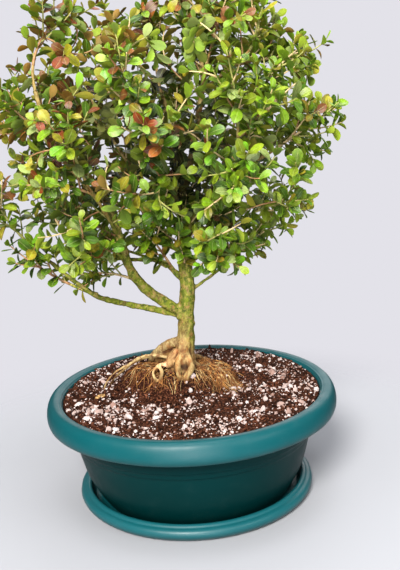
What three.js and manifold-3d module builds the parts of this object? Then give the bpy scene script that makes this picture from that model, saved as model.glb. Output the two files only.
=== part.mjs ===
// A boxwood bonsai in a round plastic pot, standing on its saucer.
// Millimetres, +Z up. The origin is the middle of the saucer's flat underside, and the front is -Y.
import * as THREE from "three";
import { mergeVertices } from "three/addons/utils/BufferGeometryUtils.js";
import Module from "manifold-3d";

const wasm = await Module();
wasm.setup();

// Clearance between pieces that touch
const GAP = 0.3;
// Clearance round the roots, measured at the corners of their holes
const HOLE_GAP = 0.35;
// Sides of the turned pieces
const ROUND = 28;

// Saucer
const SAUCER_RADIUS = 125;
const SAUCER_FOOT_RADIUS = 116;
const SAUCER_LIP_RADIUS = 117;
const SAUCER_LIP_TOP = 16;
const SAUCER_FLOOR = 3;

// Pot
const RIM_RADIUS = 152.4;
const RIM_TOP = 112.7;
const RIM_DEPTH = 21.5;
const MOUTH_RADIUS = 138;
const FOOT_RADIUS = 101;
const FOOT_BEND = { radius: 108.2, height: 16 };
const SHOULDER = { radius: 116.8, height: 34 };
const POT_WALL = 2.4;
const POT_BOTTOM = SAUCER_FLOOR + GAP;
const POT_FLOOR = POT_BOTTOM + 5;
const FOOT_RING = 12;
const FOOT_HOLLOW = 2;

// Soil, and the root ball heaped up round the trunk
const SOIL_EDGE_TOP = 108.6;
const MOUND_CENTRE = { x: -14, y: 20 };
const MOUND_HEIGHT = 22;
const MOUND_REACH = { left: 82, right: 62, front: 64, back: 62 };
const MOUND_TABLE = { left: 0.45, right: 0.5, front: 0.15, back: 0.4 };
const SOIL_ROUGHNESS = 1.1;
// Rings of the soil's surface, as shares of the root ball's reach
const MOUND_RINGS = [0.22, 0.5, 0.76, 1.08];

// The mat of matted roots that stands proud of the root ball on the right
const MAT = { x: 22, y: 18, halfWidth: 29, halfDepth: 21, bottom: 103, top: 128, sides: 8 };

// Crown: its outline seen from the front as [x, z], its half depth and its middle
const CROWN_MIDDLE = new THREE.Vector3(-18, 5, 372);
const CROWN_HALF_DEPTH = 148;
const CROWN_OUTLINE = [
  [-194, 352], [-180, 420], [-150, 466], [-110, 484], [-80, 510], [-25, 528], [35, 527],
  [90, 514], [128, 484], [150, 440], [167, 405], [155, 355], [138, 303], [112, 260], [76, 232],
  [38, 228], [14, 262], [-20, 288], [-70, 284], [-102, 238], [-140, 230], [-172, 262], [-190, 308],
];

// Shoots: how far apart their tips are over the crown, and how they leave their limb
const SPRAY_SPACING = 68;
const SPRAY_CANDIDATES = 240;
const SPRAY_TRIES = 14;
const CROWN_SHARE = 0.98;
const SHORTEST_SPRAY = 52;
const LIMB_STEP = 12;
const FORK_SHARE = 0.6;
const END_LEAD = { along: 1, away: 0.25 };
const SIDE_LEAD = { along: 0.45, away: 0.7 };
const SHOOT_SWAY = 0.3;

// Bare wood at the foot of a shoot
const BRANCH_STEPS = 2;
const BRANCH_COLLAR = 7;
const BRANCH_SHORTEST = 4;
const BRANCH_RADIUS = 1.8;
const BRANCH_THICKEST = 2.4;
const BRANCH_TIP_RADIUS = 1.35;
const BRANCH_SIDES = 4;

// Leafy twigs: leaf pairs and one side twig, placed by their distance from the tip
const TWIG_LENGTH = 72;
const TWIG_RADIUS = 1;
const TWIG_HALF = 0.95;
const TWIG_TIP_HALF = 0.65;
const NODE_LENGTH = 1.6;
const LEAF_NODES = [29, 16.5, 5];
const SIDE_NODE = 42;
const SIDE_LENGTH = 27;
const SIDE_LEAN = { first: 54, last: 40, sway: 6 };
const SIDE_HALVES = [0.78, 0.68];
const SIDE_LEAF_NODES = [12, 24];
const NODE_ROOM = 4;
const SIDE_NODE_ROOM = 6;

// Leaves: each blade widens, then narrows to its tip, and bends outward on the way
const LEAF_LENGTH = { least: 13.5, most: 18 };
const LEAF_WIDTH = 0.56;
const LEAF_THICKNESS = 0.7;
const LEAF_LEAN = { degrees: 44, sway: 9 };
const LEAF_STATIONS = [
  { step: 0.4, turn: 0, width: 0.92, facing: 0.6 },
  { step: 0.38, turn: 0.14, width: 0.84, facing: 1 },
  { step: 0.22, turn: 0.3, width: 0, facing: 1 },
];
const LEAF_TWIST = { share: 0.4, most: 0.5 };

// Room that growth keeps: twigs and wood from each other, and leaves from all that isn't their twig
const FOOT_FROM_WOOD = 1.8;
const TWIG_FROM_WOOD = 4.5;
const TWIG_FROM_TWIG = 5;
const WOOD_FROM_TWIG = 4;
const LEAF_FROM_WOOD = 2.8;
const LEAF_FROM_LEAF = 4.6;

// Where young leaves are bronze
const BRONZE_LEFT_OF = -60;
const BRONZE_ABOVE = 480;

// Unevenness of the bark, as a share of the radius
const BARK_LUMPS = 0.07;

// Roots, trunk and limbs: centreline points, radii at the first and last point, and sides
const TRUNK = {
  points: [
    [-9, 9, 92], [-8, 9, 118], [-6, 9, 134], [-4, 8.5, 148], [-2, 8, 163], [0, 8, 190], [3, 8, 220],
    [1, 10, 258], [2, 10, 290], [3, 10, 319],
  ],
  radii: [12, 16.5, 14, 11, 9.3, 8.9, 8.1, 6.8, 5.5, 4.8],
  sides: 8,
};
const LIMBS = [
  { name: "left", from: 6.2, to: 2.1, sides: 6, points: [
    [-2, 8, 189], [-27, 3, 208], [-46, -7, 229], [-56, -16, 253], [-63, -26, 290], [-76, -34, 328],
    [-107, -42, 369], [-120, -46, 397], [-124, -50, 421],
  ] },
  { name: "lower_left", from: 3.9, to: 1.6, sides: 5, points: [
    [-3, 8, 187], [-26, 8, 194], [-82, -4, 213], [-105, -10, 230], [-132, -16, 257], [-148, -19, 274],
  ] },
  { name: "thin_left", from: 3.2, to: 1.6, sides: 5, points: [
    [2, 9, 221], [-9, 14, 233], [-26, 24, 244], [-76, 44, 248], [-120, 55, 269],
  ] },
  { name: "upright", from: 4.7, to: 1.8, sides: 5, points: [
    [3, 10, 312], [-2, 18, 352], [-8, 34, 401], [-14, 42, 430],
  ] },
  { name: "upper", from: 4.4, to: 1.8, sides: 5, points: [
    [2, 10, 298], [18, 4, 364], [28, -1, 408], [36, -4, 442],
  ] },
  { name: "upper_right", from: 2.3, to: 1.6, sides: 4, points: [
    [29, -2, 414], [48, -14, 428], [66, -24, 440],
  ] },
  { name: "right", from: 4.6, to: 1.8, sides: 5, points: [
    [2, 9, 252], [12, 2, 288], [48, -23, 338], [63, -34, 364], [76, -42, 394],
  ] },
  { name: "far_right", from: 2.4, to: 1.6, sides: 4, points: [
    [44, -21, 332], [66, -22, 341], [90, -18, 351],
  ] },
  { name: "low_right", from: 2.1, to: 1.6, sides: 4, points: [
    [3, 8, 212], [22, 12, 223], [45, 17, 237],
  ] },
  { name: "middle_right", from: 2.3, to: 1.6, sides: 4, points: [
    [2, 9, 240], [19, 2, 252], [38, -12, 270], [52, -19, 284],
  ] },
  { name: "back_right", from: 4, to: 1.7, sides: 5, points: [
    [1, 10, 262], [20, 34, 290], [42, 58, 322], [60, 76, 362],
  ] },
  { name: "back_left", from: 3.8, to: 1.7, sides: 5, points: [
    [1, 10, 274], [-18, 38, 303], [-44, 62, 334], [-66, 78, 368],
  ] },
  { name: "back", from: 3.4, to: 1.6, sides: 5, points: [
    [2, 10, 300], [4, 42, 336], [0, 72, 382],
  ] },
  { name: "front", from: 3.2, to: 1.6, sides: 5, points: [
    [2, 10, 286], [-4, -24, 318], [-14, -54, 352],
  ] },
  { name: "front_right", from: 2.8, to: 1.6, sides: 5, points: [
    [22, -6, 306], [42, -42, 330], [60, -74, 356],
  ] },
  { name: "front_left", from: 2.6, to: 1.6, sides: 4, points: [
    [-62, -24, 281], [-68, -50, 302], [-80, -78, 334],
  ] },
];
const ROOTS = [
  { name: "long_left", from: 4.6, to: 1.5, sides: 5, points: [
    [-8, 9, 143], [-26, 17, 145], [-39, 38, 143], [-54, 49, 136], [-70, 49, 128], [-84, 41, 117],
    [-90, 35, 103],
  ] },
  { name: "thick_left", from: 6.8, to: 3.4, sides: 5, points: [
    [-4, 9, 164], [-18, 14, 162], [-29, 25, 154], [-39, 37, 140], [-45, 44, 120],
  ] },
  { name: "arch_left", from: 4.4, to: 2.6, sides: 5, points: [
    [-8, 5, 150], [-14, -4, 141], [-12, -11, 128], [-5, -13, 112],
  ] },
  { name: "arch_right", from: 4.4, to: 2.6, sides: 5, points: [
    [-3, 5, 150], [3, -4, 141], [1, -11, 128], [-5, -13, 112],
  ] },
  { name: "ring_left", from: 3.4, to: 1.8, sides: 4, points: [
    [-12, 6, 142], [-30, 1, 142], [-40, -3, 132], [-36, -8, 108],
  ] },
  { name: "ring_right", from: 3.4, to: 1.8, sides: 4, points: [
    [-14, 6, 140], [-28, 0, 137], [-31, -5, 127], [-36, -8, 108],
  ] },
  { name: "right", from: 4.6, to: 1.6, sides: 4, points: [
    [-2, 8, 144], [14, 4, 139], [34, -5, 127], [44, -12, 106],
  ] },
  { name: "back_right", from: 4.4, to: 1.6, sides: 4, points: [
    [-2, 10, 145], [12, 26, 138], [30, 42, 122], [34, 46, 106],
  ] },
  { name: "knob", from: 5.4, to: 3, sides: 4, points: [[-9, 6, 148], [-21, 0, 138], [-24, -3, 112]] },
];

const materials = {
  saucer: new THREE.MeshStandardMaterial({ color: 0x1b5a5a, roughness: 0.45, metalness: 0 }),
  pot: new THREE.MeshStandardMaterial({ color: 0x22696a, roughness: 0.42, metalness: 0 }),
  soil: new THREE.MeshStandardMaterial({ color: 0x3a241c, roughness: 0.95, metalness: 0 }),
  bark: new THREE.MeshStandardMaterial({ color: 0xa08a4a, roughness: 0.85, metalness: 0 }),
  leaf: new THREE.MeshStandardMaterial({ color: 0x5a8a28, roughness: 0.4, metalness: 0 }),
  bronzeLeaf: new THREE.MeshStandardMaterial({ color: 0x8a6a30, roughness: 0.4, metalness: 0 }),
};

// A repeatable draw from 0 to 1 for whole numbers a, b and c
function chance(a, b = 0, c = 0) {
  const s = Math.sin(a * 127.1 + b * 311.7 + c * 74.7) * 43758.5453;
  return s - Math.floor(s);
}

// A draw from -1 to 1
function sway(a, b = 0, c = 0) {
  return 2 * chance(a, b, c) - 1;
}

function smooth(from, to, value) {
  const t = Math.min(1, Math.max(0, (value - from) / (to - from)));
  return t * t * (3 - 2 * t);
}

function toSolid(geometry) {
  const bare = new THREE.BufferGeometry();
  bare.setAttribute("position", geometry.getAttribute("position").clone());
  bare.setIndex(geometry.index ? geometry.index.clone() : null);
  const merged = mergeVertices(bare, 1e-4);
  const index = merged.index.array;
  const triVerts = [];
  for (let i = 0; i < index.length; i += 3) {
    const [a, b, c] = [index[i], index[i + 1], index[i + 2]];
    if (a !== b && b !== c && c !== a) triVerts.push(a, b, c);
  }
  return new wasm.Manifold(new wasm.Mesh({
    numProp: 3,
    vertProperties: new Float32Array(merged.getAttribute("position").array),
    triVerts: new Uint32Array(triVerts),
  }));
}

function toGeometry(solid) {
  const mesh = solid.getMesh();
  const geometry = new THREE.BufferGeometry();
  geometry.setAttribute("position", new THREE.BufferAttribute(mesh.vertProperties.slice(), 3));
  geometry.setIndex(new THREE.BufferAttribute(mesh.triVerts.slice(), 1));
  return geometry;
}

// A turned solid from its [radius, height] outline, which starts and ends on the axis
function turned(outline) {
  const points = outline.map(([radius, height]) => new THREE.Vector2(radius, height));
  return toSolid(new THREE.LatheGeometry(points, ROUND).rotateX(Math.PI / 2));
}

function makeSaucer() {
  const inner = SAUCER_LIP_RADIUS - 3.5;
  return turned([
    [0, 0],
    [SAUCER_FOOT_RADIUS, 0],
    [SAUCER_RADIUS - 2, 3.6],
    [SAUCER_RADIUS, 8],
    [SAUCER_RADIUS - 2, 13],
    [SAUCER_LIP_RADIUS, SAUCER_LIP_TOP],
    [inner, SAUCER_LIP_TOP - 0.8],
    [inner - 4, SAUCER_FLOOR],
    [0, SAUCER_FLOOR],
  ]);
}

// The pot's inside from its floor to its mouth, as [radius, height]
const POT_INSIDE = [
  [FOOT_RADIUS + 0.5, POT_FLOOR],
  [SHOULDER.radius - POT_WALL, SHOULDER.height],
  [MOUTH_RADIUS - 1.6, RIM_TOP - 1.8],
];

function makePot() {
  const rimBottom = RIM_TOP - RIM_DEPTH;
  const underRim = RIM_TOP - POT_WALL;
  const rimFoot = RIM_RADIUS - 1.5;
  return turned([
    [0, POT_BOTTOM + FOOT_HOLLOW],
    [FOOT_RADIUS - FOOT_RING, POT_BOTTOM],
    [FOOT_RADIUS, POT_BOTTOM],
    [FOOT_BEND.radius, FOOT_BEND.height],
    [SHOULDER.radius, SHOULDER.height],
    [MOUTH_RADIUS - 2, underRim],
    [RIM_RADIUS - 6.5, underRim],
    [rimFoot - POT_WALL, rimBottom],
    [rimFoot, rimBottom],
    [RIM_RADIUS, RIM_TOP - 15.7],
    [RIM_RADIUS - 1.4, RIM_TOP - 6.2],
    [RIM_RADIUS - 6, RIM_TOP],
    [MOUTH_RADIUS + 1, RIM_TOP],
    ...[...POT_INSIDE].reverse(),
    [0, POT_FLOOR],
  ]);
}

// Inner radius of the pot at a height
function innerRadius(height) {
  const i = height > SHOULDER.height ? 2 : 1;
  const [[r0, z0], [r1, z1]] = [POT_INSIDE[i - 1], POT_INSIDE[i]];
  return r0 + ((r1 - r0) * (height - z0)) / (z1 - z0);
}

// Height of the root ball above the level soil, at a share of its reach in a direction:
// a flat table, wider on one side than another, with falling edges
function moundHeight(sine, cosine, share) {
  const table = sine ** 2 * (sine < 0 ? MOUND_TABLE.left : MOUND_TABLE.right)
    + cosine ** 2 * (cosine < 0 ? MOUND_TABLE.front : MOUND_TABLE.back);
  return MOUND_HEIGHT * (1 - smooth(table, 1, share));
}

function makeSoil() {
  const bottom = POT_FLOOR + GAP;
  const side = GAP / Math.cos(Math.PI / ROUND) + 0.1;
  const positions = [];
  const rings = [];
  const addRing = (placeAt) => {
    const ring = [];
    for (let i = 0; i < ROUND; i++) {
      const angle = (2 * Math.PI * i) / ROUND;
      ring.push(positions.length / 3);
      positions.push(...placeAt(Math.sin(angle), Math.cos(angle), i));
    }
    rings.push(ring);
  };
  const atWall = (sine, cosine, height) => {
    const radius = innerRadius(height) - side;
    return [radius * sine, radius * cosine, height];
  };
  const onMound = (sine, cosine, i, share) => {
    const reachX = sine < 0 ? MOUND_REACH.left : MOUND_REACH.right;
    const reachY = cosine < 0 ? MOUND_REACH.front : MOUND_REACH.back;
    const rough = SOIL_ROUGHNESS * sway(i, rings.length, 7);
    return [
      MOUND_CENTRE.x + reachX * sine * share,
      MOUND_CENTRE.y + reachY * cosine * share,
      SOIL_EDGE_TOP + moundHeight(sine, cosine, share) + rough,
    ];
  };
  for (const level of [bottom, SHOULDER.height, SOIL_EDGE_TOP]) {
    addRing((sine, cosine) => atWall(sine, cosine, level));
  }
  for (const share of [...MOUND_RINGS].reverse()) {
    addRing((sine, cosine, i) => onMound(sine, cosine, i, share));
  }
  const faces = [];
  const [first, last] = [rings[0], rings[rings.length - 1]];
  const floorMiddle = positions.length / 3;
  positions.push(0, 0, bottom);
  const topMiddle = positions.length / 3;
  positions.push(MOUND_CENTRE.x, MOUND_CENTRE.y, SOIL_EDGE_TOP + MOUND_HEIGHT);
  for (let i = 0; i < ROUND; i++) {
    const j = (i + 1) % ROUND;
    faces.push(floorMiddle, first[i], first[j], topMiddle, last[j], last[i]);
    for (let r = 1; r < rings.length; r++) {
      const [low, high] = [rings[r - 1], rings[r]];
      faces.push(low[i], high[j], low[j], low[i], high[i], high[j]);
    }
  }
  const geometry = new THREE.BufferGeometry();
  geometry.setAttribute("position", new THREE.BufferAttribute(new Float32Array(positions), 3));
  geometry.setIndex(faces);
  return toSolid(geometry);
}

function makeRootMat() {
  const height = MAT.top - MAT.bottom;
  const drum = new THREE.CylinderGeometry(0.82, 1.08, height, MAT.sides);
  drum.rotateX(Math.PI / 2).scale(MAT.halfWidth, MAT.halfDepth, 1);
  return toSolid(drum.translate(MAT.x, MAT.y, MAT.bottom + height / 2));
}

function toVectors(points) {
  return points.map(([x, y, z]) => new THREE.Vector3(x, y, z));
}

// A closed tube of the given radius at each point, its bark uneven by the share lumps.
// With more than 0 in grow it is that much fatter and longer, as the hole for the same tube.
function tube(points, radii, sides, seed, lumps, grow = 0) {
  const positions = [];
  const faces = [];
  const count = points.length;
  let across = new THREE.Vector3(1, 0, 0);
  for (let i = 0; i < count; i++) {
    const along = points[Math.min(i + 1, count - 1)].clone().sub(points[Math.max(i - 1, 0)]).normalize();
    across = across.clone().addScaledVector(along, -across.dot(along)).normalize();
    const up = along.clone().cross(across);
    const centre = points[i].clone();
    if (i === 0) centre.addScaledVector(along, -grow);
    if (i === count - 1) centre.addScaledVector(along, grow);
    for (let k = 0; k < sides; k++) {
      const angle = (2 * Math.PI * k) / sides;
      const radius = radii[i] * (1 + lumps * sway(seed, i, k)) + grow;
      const corner = centre.clone()
        .addScaledVector(across, radius * Math.cos(angle))
        .addScaledVector(up, radius * Math.sin(angle));
      positions.push(corner.x, corner.y, corner.z);
    }
  }
  const end = (count - 1) * sides;
  for (let k = 1; k < sides - 1; k++) {
    faces.push(0, k + 1, k, end, end + k, end + k + 1);
  }
  for (let i = 0; i < count - 1; i++) {
    for (let k = 0; k < sides; k++) {
      const [a, b] = [i * sides + k, i * sides + ((k + 1) % sides)];
      faces.push(a, b, b + sides, a, b + sides, a + sides);
    }
  }
  const geometry = new THREE.BufferGeometry();
  geometry.setAttribute("position", new THREE.BufferAttribute(new Float32Array(positions), 3));
  geometry.setIndex(faces);
  return toSolid(geometry);
}

function taper(count, from, to) {
  return Array.from({ length: count }, (_, i) => from + ((to - from) * i) / (count - 1));
}

function tapered(limb, seed, grow = 0) {
  const points = toVectors(limb.points);
  const radii = taper(points.length, limb.from, limb.to);
  return tube(points, radii, limb.sides, seed, BARK_LUMPS, grow);
}

// Distance from a point to the line from a to b
function distanceToLine(point, a, b) {
  const line = b.clone().sub(a);
  const t = Math.min(1, Math.max(0, point.clone().sub(a).dot(line) / line.lengthSq()));
  return point.distanceTo(line.multiplyScalar(t).add(a));
}

// The distance from the crown's middle to its surface in a direction
function crownReach(direction) {
  const flat = Math.hypot(direction.x, direction.z);
  const [dx, dz] = [direction.x / flat, direction.z / flat];
  let reach = 0;
  for (let i = 0; i < CROWN_OUTLINE.length; i++) {
    const [ax, az] = CROWN_OUTLINE[i];
    const [bx, bz] = CROWN_OUTLINE[(i + 1) % CROWN_OUTLINE.length];
    const [px, pz] = [ax - CROWN_MIDDLE.x, az - CROWN_MIDDLE.z];
    const [ex, ez] = [bx - ax, bz - az];
    const turn = dx * ez - dz * ex;
    const distance = (px * ez - pz * ex) / turn;
    const share = (px * dz - pz * dx) / turn;
    if (distance > 0 && share >= 0 && share <= 1) reach = Math.max(reach, distance);
  }
  return 1 / Math.hypot(flat / reach, direction.y / CROWN_HALF_DEPTH);
}

function crownPoint(direction, share) {
  return CROWN_MIDDLE.clone().addScaledVector(direction, share * crownReach(direction));
}

// A point on the curved shoot, from 0 at its start to 1 at its tip
function onShoot(shoot, t) {
  const s = 1 - t;
  return shoot.start.clone().multiplyScalar(s * s)
    .addScaledVector(shoot.bend, 2 * s * t)
    .addScaledVector(shoot.tip, t * t);
}

function alongShoot(shoot, t) {
  const first = shoot.bend.clone().sub(shoot.start);
  const second = shoot.tip.clone().sub(shoot.bend);
  return first.multiplyScalar(1 - t).addScaledVector(second, t).normalize();
}

// Places on the limbs where a shoot can start, with the limb's direction and radius there
function limbPlaces() {
  const places = [];
  LIMBS.forEach((limb, number) => {
    const points = toVectors(limb.points);
    const radii = taper(points.length, limb.from, limb.to);
    for (let i = 1; i < points.length; i++) {
      const along = points[i].clone().sub(points[i - 1]);
      const steps = Math.ceil(along.length() / LIMB_STEP);
      along.normalize();
      for (let s = 1; s <= steps; s++) {
        const t = s / steps;
        const isEnd = i === points.length - 1 && s === steps;
        if (i === 1 && t < FORK_SHARE) continue;
        places.push({
          point: points[i - 1].clone().lerp(points[i], t),
          along,
          radius: radii[i - 1] + (radii[i] - radii[i - 1]) * t,
          isEnd,
          limb: number,
          used: false,
        });
      }
    }
  });
  return places;
}

function makeShoot(place, tip, seed) {
  const away = tip.clone().sub(place.point);
  const distance = away.length();
  const lead = place.isEnd ? END_LEAD : SIDE_LEAD;
  const heading = place.along.clone().multiplyScalar(lead.along)
    .addScaledVector(away.normalize(), lead.away)
    .add(new THREE.Vector3(sway(seed, 1), sway(seed, 2), sway(seed, 3) + 0.5).multiplyScalar(SHOOT_SWAY))
    .normalize();
  const bend = place.point.clone().addScaledVector(heading, distance / 2);
  const length = (place.point.distanceTo(bend) + bend.distanceTo(tip) + distance) / 2;
  const wood = Math.max(place.isEnd ? 0 : place.radius + BRANCH_COLLAR, length - TWIG_LENGTH);
  const woodEnd = wood < BRANCH_SHORTEST ? 0 : wood / length;
  return { start: place.point, bend, tip, length, radius: place.radius, seed, woodEnd };
}

// The trunk and limbs in straight pieces, each kept as its two ends and its radius
function limbPieces() {
  const limbs = LIMBS.map(({ points, from, to }) => ({ points, radii: taper(points.length, from, to) }));
  return [TRUNK, ...limbs].flatMap(({ points, radii }) => {
    const places = toVectors(points);
    return places.slice(1).map((b, i) => ({ a: places[i], b, radius: radii[i] }));
  });
}

// A stretch of a shoot in straight pieces of the same kind
function shootPieces(shoot, from, to, radius) {
  const steps = Math.max(1, Math.ceil(((to - from) * shoot.length) / LIMB_STEP));
  return Array.from({ length: steps }, (_, i) => ({
    a: onShoot(shoot, from + ((to - from) * i) / steps),
    b: onShoot(shoot, from + ((to - from) * (i + 1)) / steps),
    radius,
  }));
}

function isClear(samples, obstacles, margin) {
  return samples.every((point) => obstacles.every(
    (piece) => distanceToLine(point, piece.a, piece.b) > piece.radius + margin,
  ));
}

// Chooses where the leafy shoots grow: one on each limb's end, the others evenly over the crown
function planShoots() {
  const wood = limbPieces();
  const twigs = [];
  const shoots = [];
  const tryShoot = (place, tip, seed) => {
    const shoot = makeShoot(place, tip, seed);
    const leafyFrom = shoot.woodEnd + SIDE_NODE_ROOM / shoot.length;
    const foot = shootPieces(shoot, shoot.woodEnd, leafyFrom, TWIG_RADIUS);
    const twig = shootPieces(shoot, leafyFrom, 1, TWIG_RADIUS);
    const branch = shoot.woodEnd > 0 ? shootPieces(shoot, 0, shoot.woodEnd, BRANCH_RADIUS) : [];
    const samplesOf = (list) => list.flatMap(({ a, b }) => [a, a.clone().lerp(b, 0.5), b]);
    if (!place.isEnd && !isClear(samplesOf(foot), wood, FOOT_FROM_WOOD)) return false;
    if (!isClear(samplesOf(twig), wood, TWIG_FROM_WOOD)) return false;
    if (!isClear(samplesOf(twig), twigs, TWIG_FROM_TWIG)) return false;
    if (!isClear(samplesOf(branch), twigs, WOOD_FROM_TWIG)) return false;
    wood.push(...branch);
    twigs.push(...shootPieces(shoot, shoot.woodEnd, 1, TWIG_RADIUS));
    shoots.push(shoot);
    place.used = true;
    return true;
  };
  const places = limbPlaces();
  for (const place of places.filter((p) => p.isEnd)) {
    const outward = place.point.clone().sub(CROWN_MIDDLE).normalize();
    for (let attempt = 0; attempt < SPRAY_TRIES; attempt++) {
      const seed = 100 + shoots.length * 10 + attempt;
      const heading = place.along.clone().addScaledVector(outward, 0.8)
        .add(new THREE.Vector3(sway(seed, 3), sway(seed, 4), sway(seed, 5)).multiplyScalar(0.12 * attempt))
        .normalize();
      const ahead = place.point.clone().addScaledVector(heading, 120).sub(CROWN_MIDDLE).normalize();
      const rim = crownPoint(ahead, CROWN_SHARE);
      const reach = THREE.MathUtils.clamp(place.point.distanceTo(rim), SHORTEST_SPRAY, TWIG_LENGTH * 1.25);
      const tip = place.point.clone().add(rim.sub(place.point).setLength(reach));
      if (tryShoot(place, tip, seed)) break;
    }
  }
  for (let i = 0; i < SPRAY_CANDIDATES; i++) {
    // 89 shares no factor with the count, so each number comes once, spread over the crown
    const number = (i * 89) % SPRAY_CANDIDATES;
    const z = 1 - (2 * (number + 0.5)) / SPRAY_CANDIDATES;
    const turn = number * Math.PI * (3 - Math.sqrt(5));
    const flat = Math.sqrt(1 - z * z);
    const direction = new THREE.Vector3(flat * Math.cos(turn), flat * Math.sin(turn), z);
    const tip = crownPoint(direction, CROWN_SHARE);
    if (shoots.some((s) => s.tip.distanceTo(tip) < SPRAY_SPACING)) continue;
    const free = places.filter((p) => !p.used && p.point.distanceTo(tip) > SHORTEST_SPRAY + LIMB_STEP);
    // The nearest places first, and of those the ones whose limb already points that way
    const cost = (place) => {
      const away = tip.clone().sub(place.point);
      return 1.5 * away.length() - 0.5 * away.dot(place.along);
    };
    free.sort((p, q) => cost(p) - cost(q));
    for (let attempt = 0; attempt < Math.min(SPRAY_TRIES, free.length); attempt++) {
      if (tryShoot(free[attempt], tip, 1000 + i * 10 + attempt)) break;
    }
  }
  return shoots;
}

function makeWood(shoots) {
  let wood = tube(toVectors(TRUNK.points), TRUNK.radii, TRUNK.sides, 1, BARK_LUMPS);
  LIMBS.forEach((limb, i) => {
    wood = wood.add(tapered(limb, 10 + i));
  });
  ROOTS.forEach((root, i) => {
    wood = wood.add(tapered(root, 40 + i));
  });
  for (const shoot of shoots.filter((s) => s.woodEnd > 0)) {
    const points = Array.from({ length: BRANCH_STEPS + 1 }, (_, i) => (
      onShoot(shoot, (shoot.woodEnd * i) / BRANCH_STEPS)
    ));
    const [before, end] = points.slice(-2);
    // The last stretch is straight, so that the branch ends square to the twig it carries
    before.copy(end.clone().addScaledVector(alongShoot(shoot, shoot.woodEnd), -end.distanceTo(before)));
    const radii = taper(points.length, Math.min(0.8 * shoot.radius, BRANCH_THICKEST), BRANCH_TIP_RADIUS);
    wood = wood.add(tube(points, radii, BRANCH_SIDES, shoot.seed, 0));
  }
  return wood;
}

// Plain holes for the foot of the trunk and for the roots
function holesForRoots() {
  const foot = TRUNK.points.slice(0, 4);
  let holes = tube(toVectors(foot), TRUNK.radii.slice(0, 4), TRUNK.sides, 1, BARK_LUMPS, HOLE_GAP);
  ROOTS.forEach((root, i) => {
    holes = holes.add(tapered(root, 40 + i, HOLE_GAP));
  });
  return holes;
}

// A twig grown as one closed skin. A section has four corners, and a leaf or a side twig
// grows out of one of the four facets between two sections.
class Growth {
  constructor() {
    this.positions = [];
    this.faces = [];
  }

  corner(point) {
    this.positions.push(point.x, point.y, point.z);
    return this.positions.length / 3 - 1;
  }

  section(centre, wide, high, halfWide, halfHigh) {
    return [[-1, -1], [1, -1], [1, 1], [-1, 1]].map(([a, b]) => this.corner(
      centre.clone().addScaledVector(wide, a * halfWide).addScaledVector(high, b * halfHigh),
    ));
  }

  facet(low, high, k) {
    const next = (k + 1) % 4;
    return [low[k], low[next], high[next], high[k]];
  }

  quad([a, b, c, d]) {
    this.faces.push(a, b, c, a, c, d);
  }

  walls(low, high, open = []) {
    for (let k = 0; k < 4; k++) {
      if (!open.includes(k)) this.quad(this.facet(low, high, k));
    }
  }

  tipEdge(low, under, over) {
    this.faces.push(low[0], low[1], under, low[1], low[2], over, low[1], over, under);
    this.faces.push(low[2], low[3], over, low[3], low[0], under, low[3], under, over);
  }

  middle(corners) {
    const sum = new THREE.Vector3();
    for (const i of corners) {
      sum.add(new THREE.Vector3(...this.positions.slice(3 * i, 3 * i + 3)));
    }
    return sum.divideScalar(corners.length);
  }

  geometry() {
    const geometry = new THREE.BufferGeometry();
    geometry.setAttribute("position", new THREE.BufferAttribute(new Float32Array(this.positions), 3));
    geometry.setIndex(this.faces);
    return geometry;
  }
}

// A direction that leans out from the twig's own direction by an angle
function leaning(out, along, angle) {
  return out.clone().multiplyScalar(Math.sin(angle)).addScaledVector(along, Math.cos(angle));
}

// The stations of a leaf blade: its middle line, its axes and its half width at each
function leafStations(root, out, along, wide, seed) {
  const length = LEAF_LENGTH.least + (LEAF_LENGTH.most - LEAF_LENGTH.least) * chance(seed, 21);
  const half = (length * LEAF_WIDTH) / 2;
  const lean = THREE.MathUtils.degToRad(LEAF_LEAN.degrees + LEAF_LEAN.sway * sway(seed, 22));
  const stations = [];
  let centre = root.clone();
  for (const { step, turn, width, facing } of LEAF_STATIONS) {
    const ahead = leaning(out, along, lean + turn);
    const high = ahead.clone().cross(wide);
    // The blade turns some way round its middle line, to lift its face to the light
    const toLight = LEAF_TWIST.share * Math.atan2(-wide.z, high.z);
    const twist = facing * THREE.MathUtils.clamp(toLight, -LEAF_TWIST.most, LEAF_TWIST.most);
    centre = centre.clone().addScaledVector(ahead, step * length);
    stations.push({
      centre,
      wide: wide.clone().multiplyScalar(Math.cos(twist)).addScaledVector(high, Math.sin(twist)),
      high: high.clone().multiplyScalar(Math.cos(twist)).addScaledVector(wide, -Math.sin(twist)),
      half: half * width,
    });
  }
  return stations;
}

// Points over a leaf blade, along its middle line and just inside its edges
function leafSamples(root, stations) {
  const samples = [];
  let [before, beforeHalf] = [root, TWIG_HALF];
  for (const station of stations) {
    for (const t of [0.5, 1]) {
      const middle = before.clone().lerp(station.centre, t);
      const half = (beforeHalf + (station.half - beforeHalf) * t) * 0.9;
      for (const side of [-1, 0, 1]) samples.push(middle.clone().addScaledVector(station.wide, side * half));
    }
    [before, beforeHalf] = [station.centre, station.half];
  }
  return samples;
}

// What the leaves keep clear of: the wood, the twigs and the leaves that are there already
const obstacles = { pieces: [], leaves: [] };

function addObstacles(list, twigName) {
  obstacles.pieces.push(...list.map((piece) => ({ ...piece, twigName })));
}

function leafFits(samples, twigName) {
  const others = obstacles.pieces.filter((piece) => piece.twigName !== twigName);
  return isClear(samples, others, LEAF_FROM_WOOD)
    && obstacles.leaves.every((leaf) => leaf.twigName === twigName || samples.every(
      (point) => leaf.samples.every((other) => point.distanceTo(other) > LEAF_FROM_LEAF),
    ));
}

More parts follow.
